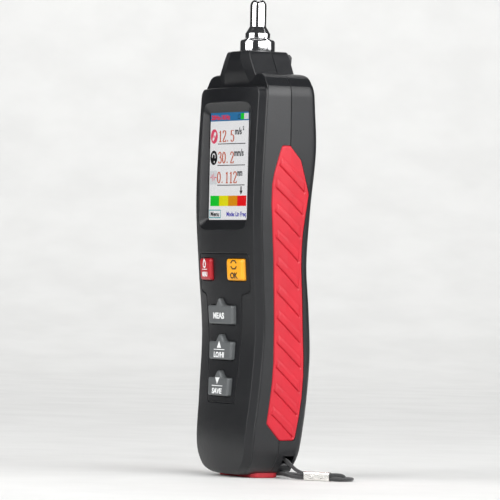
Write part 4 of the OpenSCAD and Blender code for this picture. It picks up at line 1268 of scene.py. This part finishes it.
def page_parts():
    """What the display shows, as (colour, layer, shape)."""
    parts = []

    def put(colour, layer, *shapes):
        parts.extend((colour, layer, shape) for shape in shapes)

    def patch(colour, layer, *box):
        put(colour, layer, tile(page_box(*box)))

    def text(colour, layer, letters, u, v, height, width, bold=0.1):
        put(colour, layer, words(letters, *page_place(u, v), height, width, bold, "LEFT"))

    put("white", 0, tile(rounded(rectangle(SCREEN_W, BOTTOM, TOP), 1.2, 6)))
    put("bar_blue", 1, tile(rounded(page_box(0, 0, 1, 0.08), 0.3, 3)))
    text("red", 2, "20Hz-1KHz", 0.02, 0.043, 2.1, 17.8)
    speaker = [page_place(*at) for at in ((0.7, 0.06), (0.7, 0.03), (0.755, 0.022), (0.755, 0.06))]
    put("black", 2, stroke(speaker, 0.35, closed=True))
    patch("faint", 2, 0.80, 0.012, 0.965, 0.068, 0.2)
    patch("green", 3, 0.77, 0.012, 0.855, 0.068)
    rows = [(0.22, 0.215, "12.5", "m/s", 0.63, 6.4), (0.42, 0.215, "30.2", "mm/s", 0.62, 9),
            (0.605, 0.2, "0.112", "mm", 0.71, 4.8)]
    middles = [page_place(0.1, row[0]) for row in rows]
    for (v, u, value, unit, u_unit, width), colour, (x, z) in zip(rows, ("pink", "black", "faint"), middles):
        if colour == "faint":
            patch(colour, 1, 0.01, v - 0.065, 0.19, v + 0.065, 0.5)
        else:
            put(colour, 1, tile(circle(x, z, 3.35)))
        put("orange", 1, *digits(value, *page_place(u, v), 5, 3.85))
        text("grey", 1, unit, u_unit, v - 0.045, 3, width, 0.16)
        patch("grey", 1, 0.2, v + 0.068, 0.9, v + 0.076)
    text("grey", 1, "2", 0.825, 0.15, 1.8, 1.3, 0.12)
    x, z = middles[0]
    rocket = [(-1.9, -1.6), (-0.6, -2.2), (1.9, 1.2), (1.1, 2.1), (0.2, 1.9)]
    put("white", 2, tile(shifted(rocket, x, z)))
    put("pink", 3, tile(circle(x - 0.1, z - 0.1, 0.55, 20)))
    x, z = middles[1]
    put("white", 2, stroke(arc(x - 0.1, z + 0.5, 1.35, 200, -30), 0.55), tile(circle(x + 0.5, z - 1.9, 0.5, 20)))
    x, z = middles[2]
    pulse = [(-3, 0), (-1.8, 0), (-1.2, 1.6), (-0.6, -1.9), (0.1, 2.2), (0.8, -1.4), (1.3, 0.2), (3, 0)]
    put("pink", 2, stroke(shifted(pulse, x, z), 0.45))
    for i, colour in enumerate(("green", "yellow", "amber", "red")):
        patch(colour, 1, 0.035 + 0.23 * i, 0.775, 0.265 + 0.23 * i, 0.872)
    patch("grey", 2, 0.8, 0.69, 0.83, 0.735)
    x, z = page_place(0.815, 0.768)
    put("black", 2, tile(shifted([(0, 0), (1.5, 1.9), (-1.5, 1.9)], x, z)))
    patch("teal", 1, 0.01, 0.905, 0.31, 0.985, 0.3)
    patch("white", 2, 0.022, 0.914, 0.298, 0.976, 0.2)
    text("black", 3, "Menu", 0.05, 0.945, 2.1, 8.2)
    text("violet", 1, "Mode: Lin Freq", 0.46, 0.945, 2.1, 18.5)
    return parts


def make_page():
    """The lit page, in thin layers between the display and its window."""
    glow = {name: glowing("page_" + name, colour) for name, colour in PAGE_COLOURS.items()}
    shown = []
    for colour, layer, shape in page_parts():
        shape.data.transform(Matrix.Translation((0, PAGE_Y - 0.006 - 0.01 * layer, 0))
                             @ Matrix.Diagonal((1, 0.002 / SLAB, 1, 1)))
        shape.data.materials.append(glow[colour])
        shown.append(shape)
    page = joined("display_page", shown)
    return place(page, "casing", None, weighted=False)


# ---------- probe ----------

COLLAR_LOW, COLLAR_HIGH = NOSE_TOP, NOSE_TOP + 6.2
COLLAR_R = 8.1
NECK_R = 5.2
STUD_R = 2.4
ROD_R, ROD_L = 3.8, 9.4
STEP_R = 5.8


def make_collar():
    low, stud = BODY_H - 12, COLLAR_LOW + 0.6
    chamber_high, chamber_r = BODY_H + 6.8, 3.9
    line = [(chamber_r, low), (NECK_R, low), (NECK_R, COLLAR_LOW - 0.02), (COLLAR_R - 0.4, COLLAR_LOW),
            (COLLAR_R, COLLAR_LOW + 0.4), (COLLAR_R, COLLAR_HIGH - 1.7), (COLLAR_R - 0.35, COLLAR_HIGH - 0.9),
            (COLLAR_R - 1.6, COLLAR_HIGH), (STUD_R + 0.05, COLLAR_HIGH), (STUD_R + 0.05, stud), (1.22, stud),
            (1.22, chamber_high), (chamber_r, chamber_high)]
    radii = [0.15, 0.02, 0.2, 0.2, 0.5, 0.5, 0.35, 0.1, 0.05, 0.05, 0.05]
    collar = turned("probe_collar", softened(line, radii, 5), 144)
    return place(collar, "casing", mat["steel"], ["sensor_housing"], angle=40, weighted=False)


def make_tip():
    low, z0 = COLLAR_LOW + 1.1, COLLAR_HIGH
    z1, z2, z3 = z0 + 2.2, z0 + 5.55, z0 + 5.55 + ROD_L
    line = [(0, low), (STUD_R, low), (STUD_R, z0), (STEP_R - 0.25, z0), (STEP_R, z0 + 0.25), (STEP_R, z1),
            (ROD_R, z2), (ROD_R, z3)]
    line = softened(line, [0.1, 0.05, 0.05, 0.1, 0.25, 0.5], 6)
    line += [(ROD_R - 2.9 * (1 - math.cos(a)), z3 + 3.2 * math.sin(a)) for a in np.radians(np.arange(5, 76, 5))]
    end_r, end_z = line[-1]
    line += [(end_r - 0.25, end_z + 0.12), (0.95, end_z + 0.25), (0.9, end_z + 0.45), (0.9, end_z + 1.7),
             (0.82, end_z + 2.0), (0.62, end_z + 2.25), (0.35, end_z + 2.36), (0, end_z + 2.4)]
    tip = turned("probe_point", line, 128)
    return place(tip, "tip", mat["steel"], ["probe_tip"], angle=40, weighted=False)


def make_pad():
    rings = []
    for z, inset in ((0, 0.9), (0.12, 0.5), (0.35, 0.18), (0.75, 0), (2.35, 0), (2.4, 0.05)):
        rings.append([(p[0], p[1], z) for p in pad_outline(-inset, 3.5 - inset * 0.6)])
    pad = loft("foot_pad", rings)
    return place(pad, "casing", mat["pad"], ["bottom_pad"])


def make_screws():
    """The casing's four screws: domed heads with a cross recess."""
    made = []
    for x, z in SCREW_SPOTS:
        line = [(0, HEAD_Y - 12.5), (1.15, HEAD_Y - 12.5), (1.15, HEAD_Y), (2.1, HEAD_Y), (2.1, HEAD_Y + 1.1)]
        line += [(2.1 * math.cos(a), HEAD_Y + 1.1 + 0.7 * math.sin(a)) for a in np.radians(np.arange(10, 91, 10))]
        screw = turned("screw", line, 48)
        screw.data.transform(Matrix.Translation((x, 0, z)) @ Matrix.Rotation(math.radians(-90), 4, "X"))
        for turn in (0, 90):
            slot = block("slot", (-1.2, -0.7, -0.28), (1.2, 0.9, 0.28))
            slot.data.transform(Matrix.Translation((x, HEAD_Y + 1.8, z))
                                @ Matrix.Rotation(math.radians(turn), 4, "Y"))
            cut(screw, slot)
        made.append(screw)
    return place(joined("rear_screws", made), "casing", mat["screw"], ["case_screws"])


# ---------- pieces ----------

for make in (make_front_case, make_rear_case, make_plate, make_door):
    make()
make_grip(1)
make_grip(-1)
for make in (make_keys, make_page, make_collar, make_tip, make_pad, make_screws):
    make()

CAD_LOOKS = {
    "glass": "display_window", "foam": "display_gasket", "module": "display_module",
    "light": "display_frame plunger_power plunger_ok plunger_measure plunger_up plunger_down",
    "flex": "display_flex sensor_lead", "board": "main_board", "chips": "board_chips buzzer key_switches",
    "screw": "board_screws battery_springs", "dull_steel": "sensor_nut stack_bolt door_pin",
    "seal": "sensor_seal sensor_plug", "ceramic": "piezo_rings", "brass": "seismic_mass",
    # The strap bar takes the black shell plastic rather than steel: painted shade, so it looks as dark as the shadow
    # in the notch it sits in.
    "cells": "batteries", "contact": "battery_plates", "shell": "strap_bar",
}
for look, nodes in CAD_LOOKS.items():
    for node in nodes.split():
        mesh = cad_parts[node].data
        mesh.materials.clear()
        mesh.materials.append(mat[look])


# ---------- stage and light ----------

def make_floor():
    """A pale floor that runs on into a pale wall far behind the meter."""
    profile = [(-3.0, 0.0), (1.6, 0.0)]
    profile += [(1.6 + 1.2 * math.sin(a), 1.2 - 1.2 * math.cos(a)) for a in np.radians(np.arange(5, 91, 5))]
    profile += [(2.8, 3.0)]
    back, right = -CAMERA_SIDE, CAMERA_RIGHT
    points = []
    for s, z in profile:
        for t in (-1.1, 1.1):
            p = back * s + right * t
            points.append((p.x, p.y, z))
    faces = [(2 * i, 2 * i + 1, 2 * i + 3, 2 * i + 2) for i in range(len(profile) - 1)]
    floor = mesh_object("floor", points, faces)
    floor.data.shade_smooth()
    m = Looks("floor_pale")
    m.colours(m.noise(60, 3), (0.70, 0.70, 0.69), (0.74, 0.74, 0.73))
    m.set("Roughness", m.range(m.noise(20, 3), 0.6, 0.75))
    floor.data.materials.append(m.material)


def make_light(name, turn, away, height, size, radiance, aim=(0, 0, 0.11)):
    """A soft box placed by its angle to the right of the camera, seen from the meter."""
    a = math.radians(turn)
    at = (CAMERA_SIDE * math.cos(a) + CAMERA_RIGHT * math.sin(a)) * away + Vector((0, 0, height))
    data = bpy.data.lights.new(name, "AREA")
    data.shape = "RECTANGLE"
    data.size, data.size_y = size
    data.energy = radiance * math.pi * size[0] * size[1]
    light = new_object(name, data)
    light.location = at
    light.rotation_euler = (Vector(aim) - at).to_track_quat("-Z", "Y").to_euler()


make_floor()
make_light("right_box", 36, 1.3, 0.82, (1.5, 1.2), 5.8, (0, 0, 0.5))
make_light("far_box", 84, 1.3, 0.8, (0.7, 1.2), 2.8, (0, 0, 0.5))
make_light("left_box", -59, 1.25, 0.78, (1.25, 1.2), 4.4, (0, 0, 0.5))
make_light("top_box", 180, 0.1, 1.5, (0.8, 0.8), 1.2)
make_light("wall_wash", 180, 1.3, 1.9, (1.6, 0.4), 16, tuple(-CAMERA_SIDE * 2.8 + Vector((0, 0, 0.5))))
world = bpy.data.worlds.new("studio")
bpy.context.scene.world = world
world.use_nodes = True
background = world.node_tree.nodes["Background"]
background.inputs["Color"].default_value = (0.85, 0.88, 0.92, 1)
background.inputs["Strength"].default_value = 0.05
